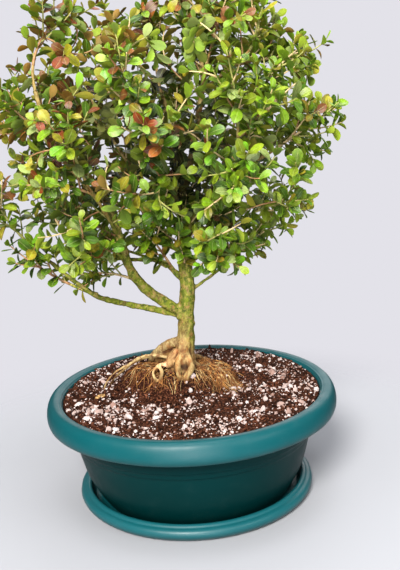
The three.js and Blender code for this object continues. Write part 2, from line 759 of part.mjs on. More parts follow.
// Grows a leaf out of a facet, or leaves the facet closed where it would cross something
function growLeaf(growth, facet, along, twigName, seed) {
  const wide = growth.middle([facet[1], facet[2]]).sub(growth.middle([facet[0], facet[3]])).normalize();
  const out = wide.clone().cross(along);
  const root = growth.middle(facet);
  const stations = leafStations(root, out, along, wide, seed);
  const samples = leafSamples(root, stations);
  if (!leafFits(samples, twigName)) {
    growth.quad(facet);
    return;
  }
  obstacles.leaves.push({ twigName, samples });
  const thick = LEAF_THICKNESS / 2;
  let low = facet;
  for (const station of stations.slice(0, 2)) {
    const high = growth.section(station.centre, station.wide, station.high, station.half, thick);
    growth.walls(low, high);
    low = high;
  }
  const tip = stations[2];
  const under = growth.corner(tip.centre.clone().addScaledVector(tip.high, -thick));
  const over = growth.corner(tip.centre.clone().addScaledVector(tip.high, thick));
  growth.tipEdge(low, under, over);
}

// Grows a side twig with its leaf pairs out of a facet of the main twig, where there is room for it
function growSideTwig(growth, facet, along, twigName, seed) {
  const wide = growth.middle([facet[1], facet[2]]).sub(growth.middle([facet[0], facet[3]])).normalize();
  const out = wide.clone().cross(along);
  const root = growth.middle(facet);
  const heading = (share) => {
    const lean = THREE.MathUtils.lerp(SIDE_LEAN.first, SIDE_LEAN.last, share);
    return leaning(out, along, THREE.MathUtils.degToRad(lean + SIDE_LEAN.sway * sway(seed, 31)));
  };
  const centreAt = (distance) => root.clone().addScaledVector(heading(distance / SIDE_LENGTH / 2), distance);
  const sectionAt = (distance, half) => {
    const ahead = heading(distance / SIDE_LENGTH);
    return growth.section(centreAt(distance), wide, ahead.clone().cross(wide), half, half);
  };
  const samples = [0.3, 0.5, 0.7, 0.9, 1].map((share) => centreAt(share * SIDE_LENGTH));
  if (!leafFits(samples, twigName.split("_")[0])) return false;
  addObstacles([{ a: root, b: centreAt(SIDE_LENGTH), radius: SIDE_HALVES[0] }], twigName);
  let low = facet;
  SIDE_LEAF_NODES.forEach((distance, pair) => {
    const before = sectionAt(distance, SIDE_HALVES[pair]);
    const after = sectionAt(distance + NODE_LENGTH, SIDE_HALVES[pair]);
    const ahead = heading(distance / SIDE_LENGTH);
    growth.walls(low, before);
    const open = pair % 2 === 0 ? [1, 3] : [0, 2];
    growth.walls(before, after, open);
    for (const k of open) {
      growLeaf(growth, growth.facet(before, after, k), ahead, twigName, seed * 7 + pair * 4 + k);
    }
    low = after;
  });
  growth.quad(low);
  return true;
}

function growSpray(shoot, number) {
  const growth = new Growth();
  const startAt = shoot.woodEnd + GAP / shoot.length;
  const leafyLength = shoot.length * (1 - startAt);
  let wide = new THREE.Vector3(sway(number, 41), sway(number, 42), sway(number, 43));
  const sectionAt = (t) => {
    const along = alongShoot(shoot, t);
    wide = wide.clone().addScaledVector(along, -wide.dot(along)).normalize();
    const half = THREE.MathUtils.lerp(TWIG_HALF, TWIG_TIP_HALF, (t - startAt) / (1 - startAt));
    return growth.section(onShoot(shoot, t), wide, along.clone().cross(wide), half, half);
  };
  const nodes = LEAF_NODES.map((fromTip, i) => ({ fromTip, open: i % 2 === 0 ? [0, 2] : [1, 3] }))
    .filter(({ fromTip }) => leafyLength > fromTip + NODE_ROOM);
  if (leafyLength > SIDE_NODE + SIDE_NODE_ROOM) {
    nodes.unshift({ fromTip: SIDE_NODE, open: number % 2 === 0 ? [1, 3] : [3, 1], hasSideTwig: true });
  }
  let low = sectionAt(startAt);
  growth.quad([...low].reverse());
  for (const [i, node] of nodes.entries()) {
    const t = 1 - node.fromTip / shoot.length;
    const before = sectionAt(t);
    const after = sectionAt(t + NODE_LENGTH / shoot.length);
    const along = alongShoot(shoot, t);
    growth.walls(low, before);
    growth.walls(before, after, node.open);
    let hasGrown = false;
    for (const k of node.open) {
      const facet = growth.facet(before, after, k);
      const seed = number * 50 + i * 6 + k;
      if (!node.hasSideTwig) {
        growLeaf(growth, facet, along, `${number}`, seed);
      } else if (hasGrown || !growSideTwig(growth, facet, along, `${number}_side`, seed)) {
        growth.quad(facet);
      } else {
        hasGrown = true;
      }
    }
    low = after;
  }
  growth.quad(low);
  return growth.geometry();
}

const model = new THREE.Group();

function add(name, geometry, material) {
  const mesh = new THREE.Mesh(geometry, material);
  mesh.name = name;
  model.add(mesh);
}

const shoots = planShoots();
add("saucer", toGeometry(makeSaucer()), materials.saucer);
add("pot", toGeometry(makePot()), materials.pot);
add("soil", toGeometry(makeSoil().add(makeRootMat()).subtract(holesForRoots())), materials.soil);
add("tree_wood", toGeometry(makeWood(shoots)), materials.bark);

addObstacles(limbPieces(), "wood");
shoots.forEach((shoot, number) => {
  if (shoot.woodEnd > 0) addObstacles(shootPieces(shoot, 0, shoot.woodEnd, BRANCH_RADIUS), "wood");
  addObstacles(shootPieces(shoot, shoot.woodEnd, 1, TWIG_RADIUS), `${number}`);
});
shoots.forEach((shoot, number) => {
  const isBronze = shoot.tip.x < BRONZE_LEFT_OF || shoot.tip.z > BRONZE_ABOVE;
  const name = `spray_${String(number + 1).padStart(2, "0")}`;
  add(name, growSpray(shoot, number), isBronze ? materials.bronzeLeaf : materials.leaf);
});

export default model;
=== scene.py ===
import itertools
import math

import bmesh
import bpy
import numpy as np
from mathutils import Matrix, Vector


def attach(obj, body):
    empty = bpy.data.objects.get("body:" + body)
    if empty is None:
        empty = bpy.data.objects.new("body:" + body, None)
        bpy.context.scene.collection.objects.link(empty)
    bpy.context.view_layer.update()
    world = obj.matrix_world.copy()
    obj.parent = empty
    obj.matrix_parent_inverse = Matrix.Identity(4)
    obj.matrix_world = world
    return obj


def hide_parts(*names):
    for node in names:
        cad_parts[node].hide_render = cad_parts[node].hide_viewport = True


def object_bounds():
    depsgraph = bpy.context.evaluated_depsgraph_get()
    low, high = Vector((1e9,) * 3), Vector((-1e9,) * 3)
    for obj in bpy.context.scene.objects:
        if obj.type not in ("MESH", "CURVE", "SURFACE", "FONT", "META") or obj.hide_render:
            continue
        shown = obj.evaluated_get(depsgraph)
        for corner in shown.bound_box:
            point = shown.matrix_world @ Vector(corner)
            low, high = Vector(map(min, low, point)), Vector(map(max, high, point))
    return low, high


# The looks of a boxwood bonsai in a round plastic pot on its saucer.
# Sizes are in millimetres until a mesh is made, with the frame's own axes: +Z up, front -Y.

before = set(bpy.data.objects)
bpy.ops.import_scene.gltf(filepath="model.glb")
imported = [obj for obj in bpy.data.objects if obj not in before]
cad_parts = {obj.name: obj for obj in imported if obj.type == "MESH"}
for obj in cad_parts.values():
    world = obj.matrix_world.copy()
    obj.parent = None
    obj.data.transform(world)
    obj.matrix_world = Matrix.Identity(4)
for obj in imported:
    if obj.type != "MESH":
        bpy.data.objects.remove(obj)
cad_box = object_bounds()

MM = 0.001
CAD_LOW, CAD_HIGH = (np.array(corner) / MM for corner in cad_box)
UP = np.array([0.0, 0.0, 1.0])

# Camera, fitted to the rim, foot and saucer in the photograph
CAMERA_PLACE = (0.0, -763.1, 387.3)
CAMERA_YAW = 0.021
CAMERA_PITCH = 0.215
CAMERA_ROLL = -0.0595
CAMERA_LENS = 47.67
SENSOR = 36.0

# Turned pieces
ROUND = 132
OUTLINE_STEP = 2.4
GAP = 0.3
SAUCER_FLOOR = 3.0
RIM_RADIUS = 152.4
RIM_TOP = 112.7
RIM_DEPTH = 21.5
MOUTH_RADIUS = 138.0
FOOT_RADIUS = 101.0
SHOULDER = (116.8, 34.0)
POT_WALL = 2.4
POT_BOTTOM = SAUCER_FLOOR + GAP
POT_FLOOR = POT_BOTTOM + 5
POT_INSIDE = [
    (FOOT_RADIUS + 0.5, POT_FLOOR),
    (SHOULDER[0] - POT_WALL, SHOULDER[1]),
    (MOUTH_RADIUS - 1.6, RIM_TOP - 1.8),
]

# Soil, the root ball round the trunk, and the mat of matted roots
SOIL_EDGE_TOP = 108.6
MOUND_CENTRE = (-14.0, 20.0)
MOUND_HEIGHT = 22.0
MOUND_REACH = {"left": 82, "right": 62, "front": 64, "back": 62}
MOUND_TABLE = {"left": 0.45, "right": 0.5, "front": 0.15, "back": 0.4}
MAT_CENTRE = (22.0, 16.0)
MAT_HALF = (29.0, 23.0)
MAT_TOP = 127.0
MAT_SLOPE = (-0.3, 0.15)
SOIL_SPACING = 1.35
SOIL_LUMPS = ((1.1, 17, 1), (0.9, 7, 1), (0.7, 3.1, 1), (0.4, 1.5, 1))

# Crown outline seen from the front as (x, z), its half depth and its middle
CROWN_MIDDLE = np.array([-18.0, 5.0, 372.0])
CROWN_HALF_DEPTH = 148.0
CROWN_OUTLINE = [
    (-194, 352), (-180, 420), (-150, 466), (-110, 484), (-80, 510), (-25, 528), (35, 527),
    (90, 514), (128, 484), (150, 440), (167, 405), (155, 355), (138, 303), (112, 260), (76, 232),
    (38, 228), (14, 262), (-20, 288), (-70, 284), (-102, 238), (-140, 230), (-172, 262), (-190, 308),
]

# Shoots: how far apart their tips are over the crown, and how they leave their limb
SPRAY_SPACING = 68
SPRAY_CANDIDATES = 240
SPRAY_TRIES = 14
CROWN_SHARE = 0.98
SHORTEST_SPRAY = 52
LIMB_STEP = 12
FORK_SHARE = 0.6
END_LEAD = {"along": 1, "away": 0.25}
SIDE_LEAD = {"along": 0.45, "away": 0.7}
SHOOT_SWAY = 0.3
BRANCH_COLLAR = 7
BRANCH_SHORTEST = 4
BRANCH_RADIUS = 1.8
BRANCH_THICKEST = 2.4
BRANCH_TIP_RADIUS = 1.35
TWIG_LENGTH = 72
TWIG_RADIUS = 1
SIDE_NODE_ROOM = 6
FOOT_FROM_WOOD = 1.8
TWIG_FROM_WOOD = 4.5
TWIG_FROM_TWIG = 5
WOOD_FROM_TWIG = 4

# Roots, trunk and limbs: centreline points and radii
TRUNK = {
    "points": [
        (-9, 9, 92), (-8, 9, 118), (-6, 9, 134), (-4, 8.5, 148), (-2, 8, 163), (0, 8, 190), (3, 8, 220),
        (1, 10, 258), (2, 10, 290), (3, 10, 319),
    ],
    "radii": [12, 16.5, 14, 11, 9.3, 8.9, 8.1, 6.8, 5.5, 4.8],
}
LIMBS = {
    "left": (6.2, 2.1, [
        (-2, 8, 189), (-27, 3, 208), (-46, -7, 229), (-56, -16, 253), (-63, -26, 290), (-76, -34, 328),
        (-107, -42, 369), (-120, -46, 397), (-124, -50, 421)]),
    "lower_left": (3.9, 1.6, [
        (-3, 8, 187), (-26, 8, 194), (-82, -4, 213), (-105, -10, 230), (-132, -16, 257), (-148, -19, 274)]),
    "thin_left": (3.2, 1.6, [(2, 9, 221), (-9, 14, 233), (-26, 24, 244), (-76, 44, 248), (-120, 55, 269)]),
    "upright": (4.7, 1.8, [(3, 10, 312), (-2, 18, 352), (-8, 34, 401), (-14, 42, 430)]),
    "upper": (4.4, 1.8, [(2, 10, 298), (18, 4, 364), (28, -1, 408), (36, -4, 442)]),
    "upper_right": (2.3, 1.6, [(29, -2, 414), (48, -14, 428), (66, -24, 440)]),
    "right": (4.6, 1.8, [(2, 9, 252), (12, 2, 288), (48, -23, 338), (63, -34, 364), (76, -42, 394)]),
    "far_right": (2.4, 1.6, [(44, -21, 332), (66, -22, 341), (90, -18, 351)]),
    "low_right": (2.1, 1.6, [(3, 8, 212), (22, 12, 223), (45, 17, 237)]),
    "middle_right": (2.3, 1.6, [(2, 9, 240), (19, 2, 252), (38, -12, 270), (52, -19, 284)]),
    "back_right": (4, 1.7, [(1, 10, 262), (20, 34, 290), (42, 58, 322), (60, 76, 362)]),
    "back_left": (3.8, 1.7, [(1, 10, 274), (-18, 38, 303), (-44, 62, 334), (-66, 78, 368)]),
    "back": (3.4, 1.6, [(2, 10, 300), (4, 42, 336), (0, 72, 382)]),
    "front": (3.2, 1.6, [(2, 10, 286), (-4, -24, 318), (-14, -54, 352)]),
    "front_right": (2.8, 1.6, [(22, -6, 306), (42, -42, 330), (60, -74, 356)]),
    "front_left": (2.6, 1.6, [(-62, -24, 281), (-68, -50, 302), (-80, -78, 334)]),
}
ROOTS = {
    "long_left": (2.6, 1.2, [
        (-8, 9, 140), (-26, 17, 141), (-39, 30, 139), (-54, 34, 134), (-70, 30, 126), (-84, 24, 116),
        (-90, 20, 103)]),
    "pale_left": (1.9, 1.0, [
        (-14, 6, 139), (-22, 9, 141.5), (-34, 12, 144), (-45, 13, 144.5), (-56, 13, 141), (-64, 13, 136),
        (-79, 13, 129), (-90, 13, 118), (-95, 12, 106)]),
    "thick_left": (6.4, 4.0, [
        (-4, 9, 160), (-13, 16, 156.5), (-24, 22, 151), (-34, 28, 143), (-41, 36, 131), (-43, 42, 112)]),
    "web_left": (6.5, 4.0, [(-8, 9, 144), (-21, 19, 140), (-33, 26, 131), (-40, 30, 112)]),
    "arch_left": (3.6, 2.7, [
        (-8, 0, 149), (-11.5, -6, 143), (-12.6, -9, 137), (-12, -11, 129), (-9, -11, 112)]),
    "arch_right": (3.8, 3.2, [
        (-3, 0, 149), (0, -6, 143), (1.6, -9, 137), (0, -11, 131), (-4, -12, 126.5), (-5, -11, 112)]),
    "brow": (7.5, 5.2, [(-4, 5, 160), (-5, -1, 151), (-5.5, -5, 144.5)]),
    "core": (6.0, 6.0, [(-6, 3, 148), (-6, -1, 138), (-6, -3, 112)]),
    "ring_left": (2.2, 1.8, [
        (-26, -3, 138), (-33, -8, 139.5), (-38.5, -10, 132), (-36, -10, 123), (-33, -10, 118)]),
    "ring_right": (2.2, 1.8, [
        (-26, -3, 138), (-32, -8, 139.5), (-29.5, -10, 131), (-32, -10, 123), (-38, -12, 108)]),
    "right": (3.6, 1.2, [(-2, 8, 139), (12, 4, 130), (24, -2, 118), (32, -6, 104)]),
    "back_right": (3.8, 1.4, [(-2, 10, 142), (12, 26, 134), (28, 40, 120), (34, 46, 102)]),
    "knob": (5.8, 5.2, [(-12, 5, 149), (-18, 1, 143.5), (-22, -3, 137)]),
    "under_knob": (3.0, 4.0, [(-12, 2, 140), (-18, 0, 130), (-20, -1, 112)]),
}
WOOD_STEP = 2.5
WOOD_SIDES = 14
WOOD_VOXEL = 1.12
BARK_RELIEF = ((0.55, 7, 1), (0.38, 3.2, 0.45), (0.22, 1.6, 0.45))
KNOT_CHANCE = 0.45
HOLLOW_SMOOTHINGS = 14

# How the wood's colour changes: on the roots, where soil clings, and on young wood, with painted shade in
# hollows and creases
ROOT_TINTS = {
    "pale_left": (1.5, 1.58, 1.9), "ring_left": (1.66, 1.75, 2.1), "ring_right": (1.66, 1.75, 2.1),
    "arch_left": (1.3, 1.32, 1.4), "arch_right": (1.3, 1.32, 1.4), "knob": (1.2, 1.04, 1.1),
    "thick_left": (1.2, 1.26, 1.45), "web_left": (0.75, 0.62, 0.52), "brow": (1.16, 1.08, 1.1),
}
ROOTS_BELOW = 165
# Painted shade: dark spots in the hole under the arch and inside the ring, as place and radius
HOLLOW_SHADES = (((-5.5, -8, 135.5), 4.4), ((-34, -8, 131), 3.2))
DIRT = (0.42, 0.3, 0.2)
CREVICE_SHADE = (0.34, 0.22, 0.14)
YOUNG_WOOD = (1.35, 1.35, 1.45)

# Burls on the trunk, as place and radius, and a stray twig low on it
BURLS = (((5.5, 7.0, 178.0), 3.6), ((-6.5, 4.0, 187.0), 4.6), ((-38.0, -2.0, 220.0), 4.6))
STRAY_TWIG = ((-8, 4, 152), (-14, -1, 156), (-20, -4, 163))
STRAY_TWIG_RADII = (0.55, 0.25)
STRAY_TWIG_TINT = (0.9, 1, 0.7)

# Fine growth on the shoots
FIRST_NODE = 2.2
LAST_NODE_ROOM = 2.5
NODE_GAP = 7.4
LEAFY_END = 22
LEAF_CHANCE = 0.93
LOW_LEAF_CHANCE = 0.68
SIDE_TWIG_CHANCE = 0.62
INNER_TWIG_CHANCE = 0.6
SIDE_TWIG = (22, 40)
TWIG_STEP = 4.5
TWIG_SIDES = 5
SPRAY_TWIG = (1.6, 0.6)
THIN_TWIG = (1.0, 0.5)
INNER_TWIGS_ABOVE = 234
TRUNK_LEAFY_FROM = 240
TWIG_TINTS = {"green": (140, 142, 72), "tan": (200, 174, 128), "brown": (154, 110, 74)}

# Leaves: each pair is the least and the most. Widths are shares of the length
LEAF_LENGTH = (12.5, 19.5)
LEAF_WIDTH = (0.46, 0.6)
LEAF_FULLNESS = (1.8, 3.2)
LEAF_FOLD = (0.16, 0.6)
LEAF_BEND = (-0.1, 0.36)
LEAF_CURL = 0.32
LEAF_STATIONS = (0.0, 0.13, 0.32, 0.55, 0.77, 0.93, 1.0)
PETIOLE_LENGTH = 0.07
PETIOLE_WIDTH = 0.07
LEAF_FROM_WOOD = 2.0
BOX_MARGIN = 0.3

# Twigs that fill the rest of the crown: tries, room between leaves inside and outside, and reach
FILL_TRIES = 6000
FILL_ROOM = (18.0, 17.5)
FILL_REACH = (14.0, 46.0)
FILL_SHARES = (0.12, 0.94)
BARE_UNDER = {"from": -112, "to": -6, "below": 268}

# Leaf colours: (red, green, blue) as on a screen, from 0 to 255
LEAF_COLOURS = {
    "dark": (46, 74, 10),
    "middle": (86, 117, 14),
    "fresh": (102, 122, 22),
    # A pale grey green: partly the leaves' own colour, partly painted sheen
    "dusty": (102, 117, 64),
    "olive": (116, 112, 24),
    "yellow": (106, 106, 18),
    "lime": (76, 120, 10),
    "bronze": (98, 60, 28),
    "rust": (90, 36, 8),
    "orange": (112, 62, 18),
}

# What a leaf turns to at its edge, where that isn't its own colour
LEAF_EDGES = {
    "dark": "middle", "middle": "fresh", "fresh": "yellow", "olive": "bronze", "yellow": "orange",
    "bronze": "rust",
}

# Grains on the soil: tries, least and most size, form, and how finely each is divided
PERLITE_GRAINS = (
    (6600, (0.8, 2.0), (1.15, 0.95, 0.75), 1),
    (1350, (2.0, 3.4), (1.15, 0.95, 0.75), 2),
    (340, (3.4, 6.6), (1.15, 0.95, 0.75), 2),
)
CRUMB_GRAINS = (
    (4200, (1.2, 3.0), (1.2, 0.8, 0.6), 1),
    (800, (3.0, 7.0), (1.6, 0.55, 0.35), 1),
)
PERLITE_COLOURS = ((150, 116, 104), (216, 204, 202))
CRUMB_COLOURS = ((11, 4, 2), (108, 62, 42))
CRUMBS_KEPT = 0.8
CHIP = {"place": (-96.0, -11.0), "size": 9.0, "form": (1.3, 0.75, 0.42), "colour": (214, 170, 112)}

# Fine roots: number, middle and half size of where they start, headings, lengths and height
FIBRES = (
    (230, (18, 12), (24, 17), (-1.9, 1.3), (10, 30), 2.0),
    (120, (37, 0), (14, 9), (-2.6, -0.2), (8, 22), 2.2),
    (130, (-34, 14), (24, 14), (2.2, 4.4), (10, 30), 2.4),
    (80, (-10, -4), (32, 9), (-2.6, -0.5), (8, 24), 0.8),
    (50, (0, 34), (40, 14), (0.2, 2.9), (12, 30), 1.0),
)
FIBRE_COLOURS = ((196, 140, 76), (150, 92, 44), (206, 180, 126), (104, 62, 30), (172, 118, 62))
FIBRE_RADII = (0.24, 0.32, 0.44, 0.7)
FIBRE_RADIUS_SHARES = (0.35, 0.35, 0.22, 0.08)
FIBRE_STEP = 3.0

# Where algae grow on the bark, in metres: by height, by side, low on that side, and where it is too dry
ALGAE = {"height": (0.155, 0.2), "side": (-0.008, 0.006), "low": (0.14, 0.17), "dry": (0.27, 0.36, 1, 0.25)}

# Materials over a colour that the mesh gives: roughness, specular level, another colour with its noise
# and limits, and a bump with its noise, height in millimetres and strength
TINTED = {
    "bark_crumbs": (0.85, 0.08, ((40, 24, 20), (500, 4), (0.35, 0.7)), ((900, 4, 0.7), 0.4, 0.8)),
    "root_fibres": (0.8, 0.25, ((110, 70, 40), (300, 4), (0.35, 0.7)), ((800, 3), 0.1, 0.6)),
    "young_twigs": (0.6, 0.35, ((206, 186, 128), (300, 4), (0.4, 0.75, 0, 0.5)), ((600, 3), 0.15, 0.6)),
}

# Plastics: specular level, colour, a lighter colour painted on towards the top as painted light, heights in
# metres between which the painted light comes in, and dust
PLASTICS = {
    "saucer_plastic": (0.42, (2, 63, 67), (12, 83, 90), (0.002, 0.012), (150, 176, 174)),
    "pot_rim_lit_plastic": (0.32, (0, 59, 62), (2, 74, 80), (0.09, 0.1), (150, 178, 178)),
    "pot_wall_shaded_plastic": (0.06, (0, 34, 34), (0, 40, 41), (0.02, 0.08), (120, 150, 148)),
}

# The floor, the plain colour round it, and the soft light on the part from below to above
FLOOR_HALF = 900.0
FLOOR_COLOUR = (167, 168, 174)
FLOOR_FADE = (0.24, 0.52)
PLAIN_COLOUR = (227, 226, 233)
AMBIENT_COLOUR = (232, 234, 240)
AMBIENT = {"From Min": -0.5, "From Max": 1.0, "To Min": 0.04, "To Max": 0.33}

# Lights: place, aim, width in metres, power in watts and colour
LIGHTS = {
    "key": ((-720, -2600, 2100), (0, 0, 280), 1.05, 214, (1.0, 0.98, 0.93)),
    "low": ((-60, -1900, 60), (0, 0, 180), 1.0, 22, (0.98, 0.99, 1.0)),
    "back": ((500, 1900, 1300), (0, 0, 280), 2.6, 30, (0.98, 0.99, 1.0)),
    "fill": ((1100, -1000, 900), (0, 0, 280), 0.8, 6, (1.0, 0.99, 0.96)),
    "top": ((0, -250, 1800), (0, 0, 200), 0.9, 16, (0.97, 0.99, 1.0)),
}

rng = np.random.default_rng(11)


def linear(colour):
    """A screen colour, 0 to 255 a channel, as the linear colour that shaders take."""
    share = np.asarray(colour, float) / 255
    return np.where(share <= 0.04045, share / 12.92, ((share + 0.055) / 1.055) ** 2.4)


def chance(a, b=0, c=0):
    """A repeatable draw from 0 to 1 for whole numbers a, b and c."""
    s = math.sin(a * 127.1 + b * 311.7 + c * 74.7) * 43758.5453
    return s - math.floor(s)


def sway(a, b=0, c=0):
    return 2 * chance(a, b, c) - 1


def stray(*key):
    """A repeatable vector of three draws from -1 to 1, the last number of the key going up by one."""
    return np.array([sway(*key[:-1], key[-1] + i) for i in range(3)])


def between(limits, share):
    return limits[0] + (limits[1] - limits[0]) * share


def smooth(start, end, value):
    t = np.clip((value - start) / (end - start), 0, 1)
    return t * t * (3 - 2 * t)


def unit(vector):
    vector = np.asarray(vector, float)
    return vector / np.maximum(np.linalg.norm(vector, axis=-1, keepdims=True), 1e-9)


def lattice_noise(points, size, seed):
    """Smooth noise from -1 to 1 at each point, with lumps of about the given size."""
    scaled = np.asarray(points, float) / size
    cell = np.floor(scaled)
    part = scaled - cell
    part = part * part * (3 - 2 * part)
    total = np.zeros(len(scaled))
    for corner in itertools.product((0, 1), repeat=3):
        phase = (cell + corner) @ np.array([127.1, 311.7, 74.7]) + seed * 19.19
        draw = np.sin(phase) * 43758.5453
        weight = np.prod(np.where(corner, part, 1 - part), axis=1)
        total += (draw - np.floor(draw)) * weight
    return 2 * total - 1


def lumps(points, table, seed):
    """Noises of several sizes together. The table gives the height, size and upward squeeze of each."""
    return sum(
        height * lattice_noise(points * (1, 1, squeeze), size, seed + i)
        for i, (height, size, squeeze) in enumerate(table)
    )


# Meshes


class Skin:
    """Collects vertices and faces, with a tint and a place on the blade for each vertex."""

    def __init__(self):
        self.points = []
        self.faces = []
        self.kinds = []
        self.tints = []
        self.blades = []
        self.count = 0

    def add(self, points, faces, tint, blade=(0.5, 0.5, 1.0), kind=0):
        """points is (n, 3); tint and blade are one value for all, or one for each vertex."""
        self.points.append(np.asarray(points, float))
        self.faces.extend(tuple(int(i) + self.count for i in face) for face in faces)
        self.kinds.extend([kind] * len(faces))
        self.tints.append(np.broadcast_to(tint, (len(points), 3)))
        self.blades.append(np.broadcast_to(blade, (len(points), 3)))
        self.count += len(points)

    def to_object(self, name, materials):
        mesh = bpy.data.meshes.new(name)
        mesh.from_pydata(np.concatenate(self.points) * MM, [], self.faces)
        mesh.shade_smooth()
        for material in materials:
            mesh.materials.append(material)
        mesh.polygons.foreach_set("material_index", self.kinds)
        paint(mesh, "tint", np.concatenate(self.tints))
        paint(mesh, "blade", np.concatenate(self.blades))
        mesh.update()
        return link(name, mesh)


def paint(mesh, title, colours):
    """Keeps a colour for each vertex under a title, for a material to read."""
    layer = mesh.attributes.new(title, "FLOAT_COLOR", "POINT")
    layer.data.foreach_set("color", np.column_stack([colours, np.ones(len(colours))]).ravel())


def vectors(items, title):
    """A vector that each item of a mesh has, as an (n, 3) array."""
    values = np.empty(3 * len(items))
    items.foreach_get(title, values)
    return values.reshape(-1, 3)


def link(name, data):
    thing = bpy.data.objects.new(name, data)
    bpy.context.scene.collection.objects.link(thing)
    return thing


def dress(piece, slot, *nodes):
    """Makes a piece ride on the part and hides the nodes that it stands for. The slot is not used."""
    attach(piece, "root")
    if nodes:
        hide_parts(*nodes)


def through(points, step):
    """Points about a step apart on a smooth curve through the given points."""
    points = np.asarray(points, float)
    ends = [2 * points[0] - points[1], *points, 2 * points[-1] - points[-2]]
    line = []
    for before, a, b, after in zip(ends, ends[1:], ends[2:], ends[3:]):
        count = max(1, round(float(np.linalg.norm(b - a)) / step))
        for t in np.arange(count)[:, None] / count:
            line.append((
                2 * a + (b - before) * t
                + (2 * before - 5 * a + 4 * b - after) * t ** 2
                + (3 * a - before - 3 * b + after) * t ** 3
            ) / 2)
    return np.array([*line, points[-1]])


def spread(values, points, line):
    """Values given at the points, carried over to the places of the finer line."""
    at = [0, *np.cumsum(np.linalg.norm(np.diff(np.asarray(points, float), axis=0), axis=1))]
    along = [0, *np.cumsum(np.linalg.norm(np.diff(line, axis=0), axis=1))]
    return np.interp(np.array(along) / along[-1], np.array(at) / at[-1], values)


def ring_faces(rings, sides):
    """Faces between rings of vertices, and round one vertex more at the start and one at the end."""
    faces = []
    last = (rings - 1) * sides
    for i in range(sides):
        j = (i + 1) % sides
        faces.append((rings * sides, j, i))
        faces.append((rings * sides + 1, last + i, last + j))
        faces.extend((low + i, low + j, low + sides + j, low + sides + i) for low in range(0, last, sides))
    return faces


def tube(line, radii, sides):
    """Vertices and faces of a closed tube with pointed ends."""
    along = unit(np.gradient(line, axis=0))
    across = unit(np.cross(along[0], UP if abs(along[0][2]) < 0.9 else (1, 0, 0)))
    angles = 2 * np.pi * np.arange(sides) / sides
    rings = []
    for centre, ahead, radius in zip(line, along, radii):
        across = unit(across - ahead * (across @ ahead))
        other = np.cross(ahead, across)
        rings.append(centre + radius * (np.outer(np.cos(angles), across) + np.outer(np.sin(angles), other)))
    foot = line[0] - along[0] * radii[0] * 0.5
    tip = line[-1] + along[-1] * radii[-1] * 0.7
    return np.concatenate([*rings, [foot, tip]]), ring_faces(len(line), sides)


def lathe(name, outline, material):
    """A turned piece from its (radius, height) outline, which starts and ends on the axis."""
    skin = Skin()
    rings = [point for point in outline if point[0] > 0]
    angles = 2 * np.pi * np.arange(ROUND) / ROUND
    points = [np.stack([r * np.sin(angles), -r * np.cos(angles), np.full(ROUND, z)], 1) for r, z in rings]
    middle = [[0, 0, outline[0][1]], [0, 0, outline[-1][1]]]
    skin.add(np.concatenate([*points, middle]), ring_faces(len(rings), ROUND), (1, 1, 1))
    return skin.to_object(name, [material])


# Materials


class Nodes:
    """Builds the nodes of a node tree."""

    def __init__(self, tree):
        self.tree = tree

    def put(self, socket, value):
        if isinstance(value, bpy.types.NodeSocket):
            self.tree.links.new(value, socket)
        elif hasattr(socket.default_value, "__len__") and np.ndim(value):
            socket.default_value = (*value, 1.0)[:len(socket.default_value)]
        else:
            socket.default_value = value

    def node(self, kind, inputs=(), **settings):
        node = self.tree.nodes.new(kind)
        for key, value in settings.items():
            setattr(node, key, value)
        for key, value in dict(inputs).items():
            self.put(node.inputs[key], value)
        return node


class Shader(Nodes):
    """A material around one shader, built from short calls that return sockets."""

    def __init__(self, name, roughness, specular):
        self.material = bpy.data.materials.new(name)
        self.material.use_nodes = True
        super().__init__(self.material.node_tree)
        self.bsdf = self.tree.nodes["Principled BSDF"]
        self.set("Roughness", roughness)
        self.set("Specular IOR Level", specular)

    def set(self, title, value):
        self.put(self.bsdf.inputs[title], value)

    def place(self):
        return self.node("ShaderNodeTexCoord").outputs["Object"]

    def stretched(self, scale):
        return self.node("ShaderNodeMapping", {"Vector": self.place(), "Scale": scale}).outputs["Vector"]

    def noise(self, scale, detail=3.0, rough=0.55, vector=None):
        vector = vector or self.place()
        inputs = {"Vector": vector, "Scale": scale, "Detail": detail, "Roughness": rough}
        return self.node("ShaderNodeTexNoise", inputs).outputs["Fac"]

    def cells(self, scale):
        inputs = {"Vector": self.place(), "Scale": scale}
        return self.node("ShaderNodeTexVoronoi", inputs).outputs["Distance"]

    def maths(self, operation, a, b=0.0):
        return self.node("ShaderNodeMath", {0: a, 1: b}, operation=operation).outputs[0]

    def times(self, a, b):
        return self.maths("MULTIPLY", a, b)

    def span(self, value, low, high, to_low=0.0, to_high=1.0):
        """The value taken from the range low to high over to the other range, and held there."""
        inputs = {"Value": value, "From Min": low, "From Max": high, "To Min": to_low, "To Max": to_high}
        return self.node("ShaderNodeMapRange", inputs, interpolation_type="SMOOTHSTEP").outputs["Result"]

    def mix(self, factor, a, b, blend="MIX"):
        """Two colours mixed, each of them a socket or a screen colour."""
        a, b = (linear(colour) if isinstance(colour, tuple) else colour for colour in (a, b))
        inputs = {0: factor, 6: a, 7: b}
        return self.node("ShaderNodeMix", inputs, data_type="RGBA", blend_type=blend).outputs[2]

    def over(self, colour, layer, noise, limits):
        """The colour with another one over it where a noise is high."""
        return self.mix(self.span(self.noise(*noise), *limits), colour, layer)

    def attribute(self, name):
        return self.node("ShaderNodeAttribute", attribute_name=name)

    def tint(self):
        return self.attribute("tint").outputs["Color"]

    def axis(self, number):
        return self.node("ShaderNodeSeparateXYZ", {"Vector": self.place()}).outputs[number]

    def bump(self, height, distance, strength=1.0):
        inputs = {"Height": height, "Distance": distance * MM, "Strength": strength}
        if self.bsdf.inputs["Normal"].is_linked:
            inputs["Normal"] = self.bsdf.inputs["Normal"].links[0].from_socket
        self.set("Normal", self.node("ShaderNodeBump", inputs).outputs["Normal"])


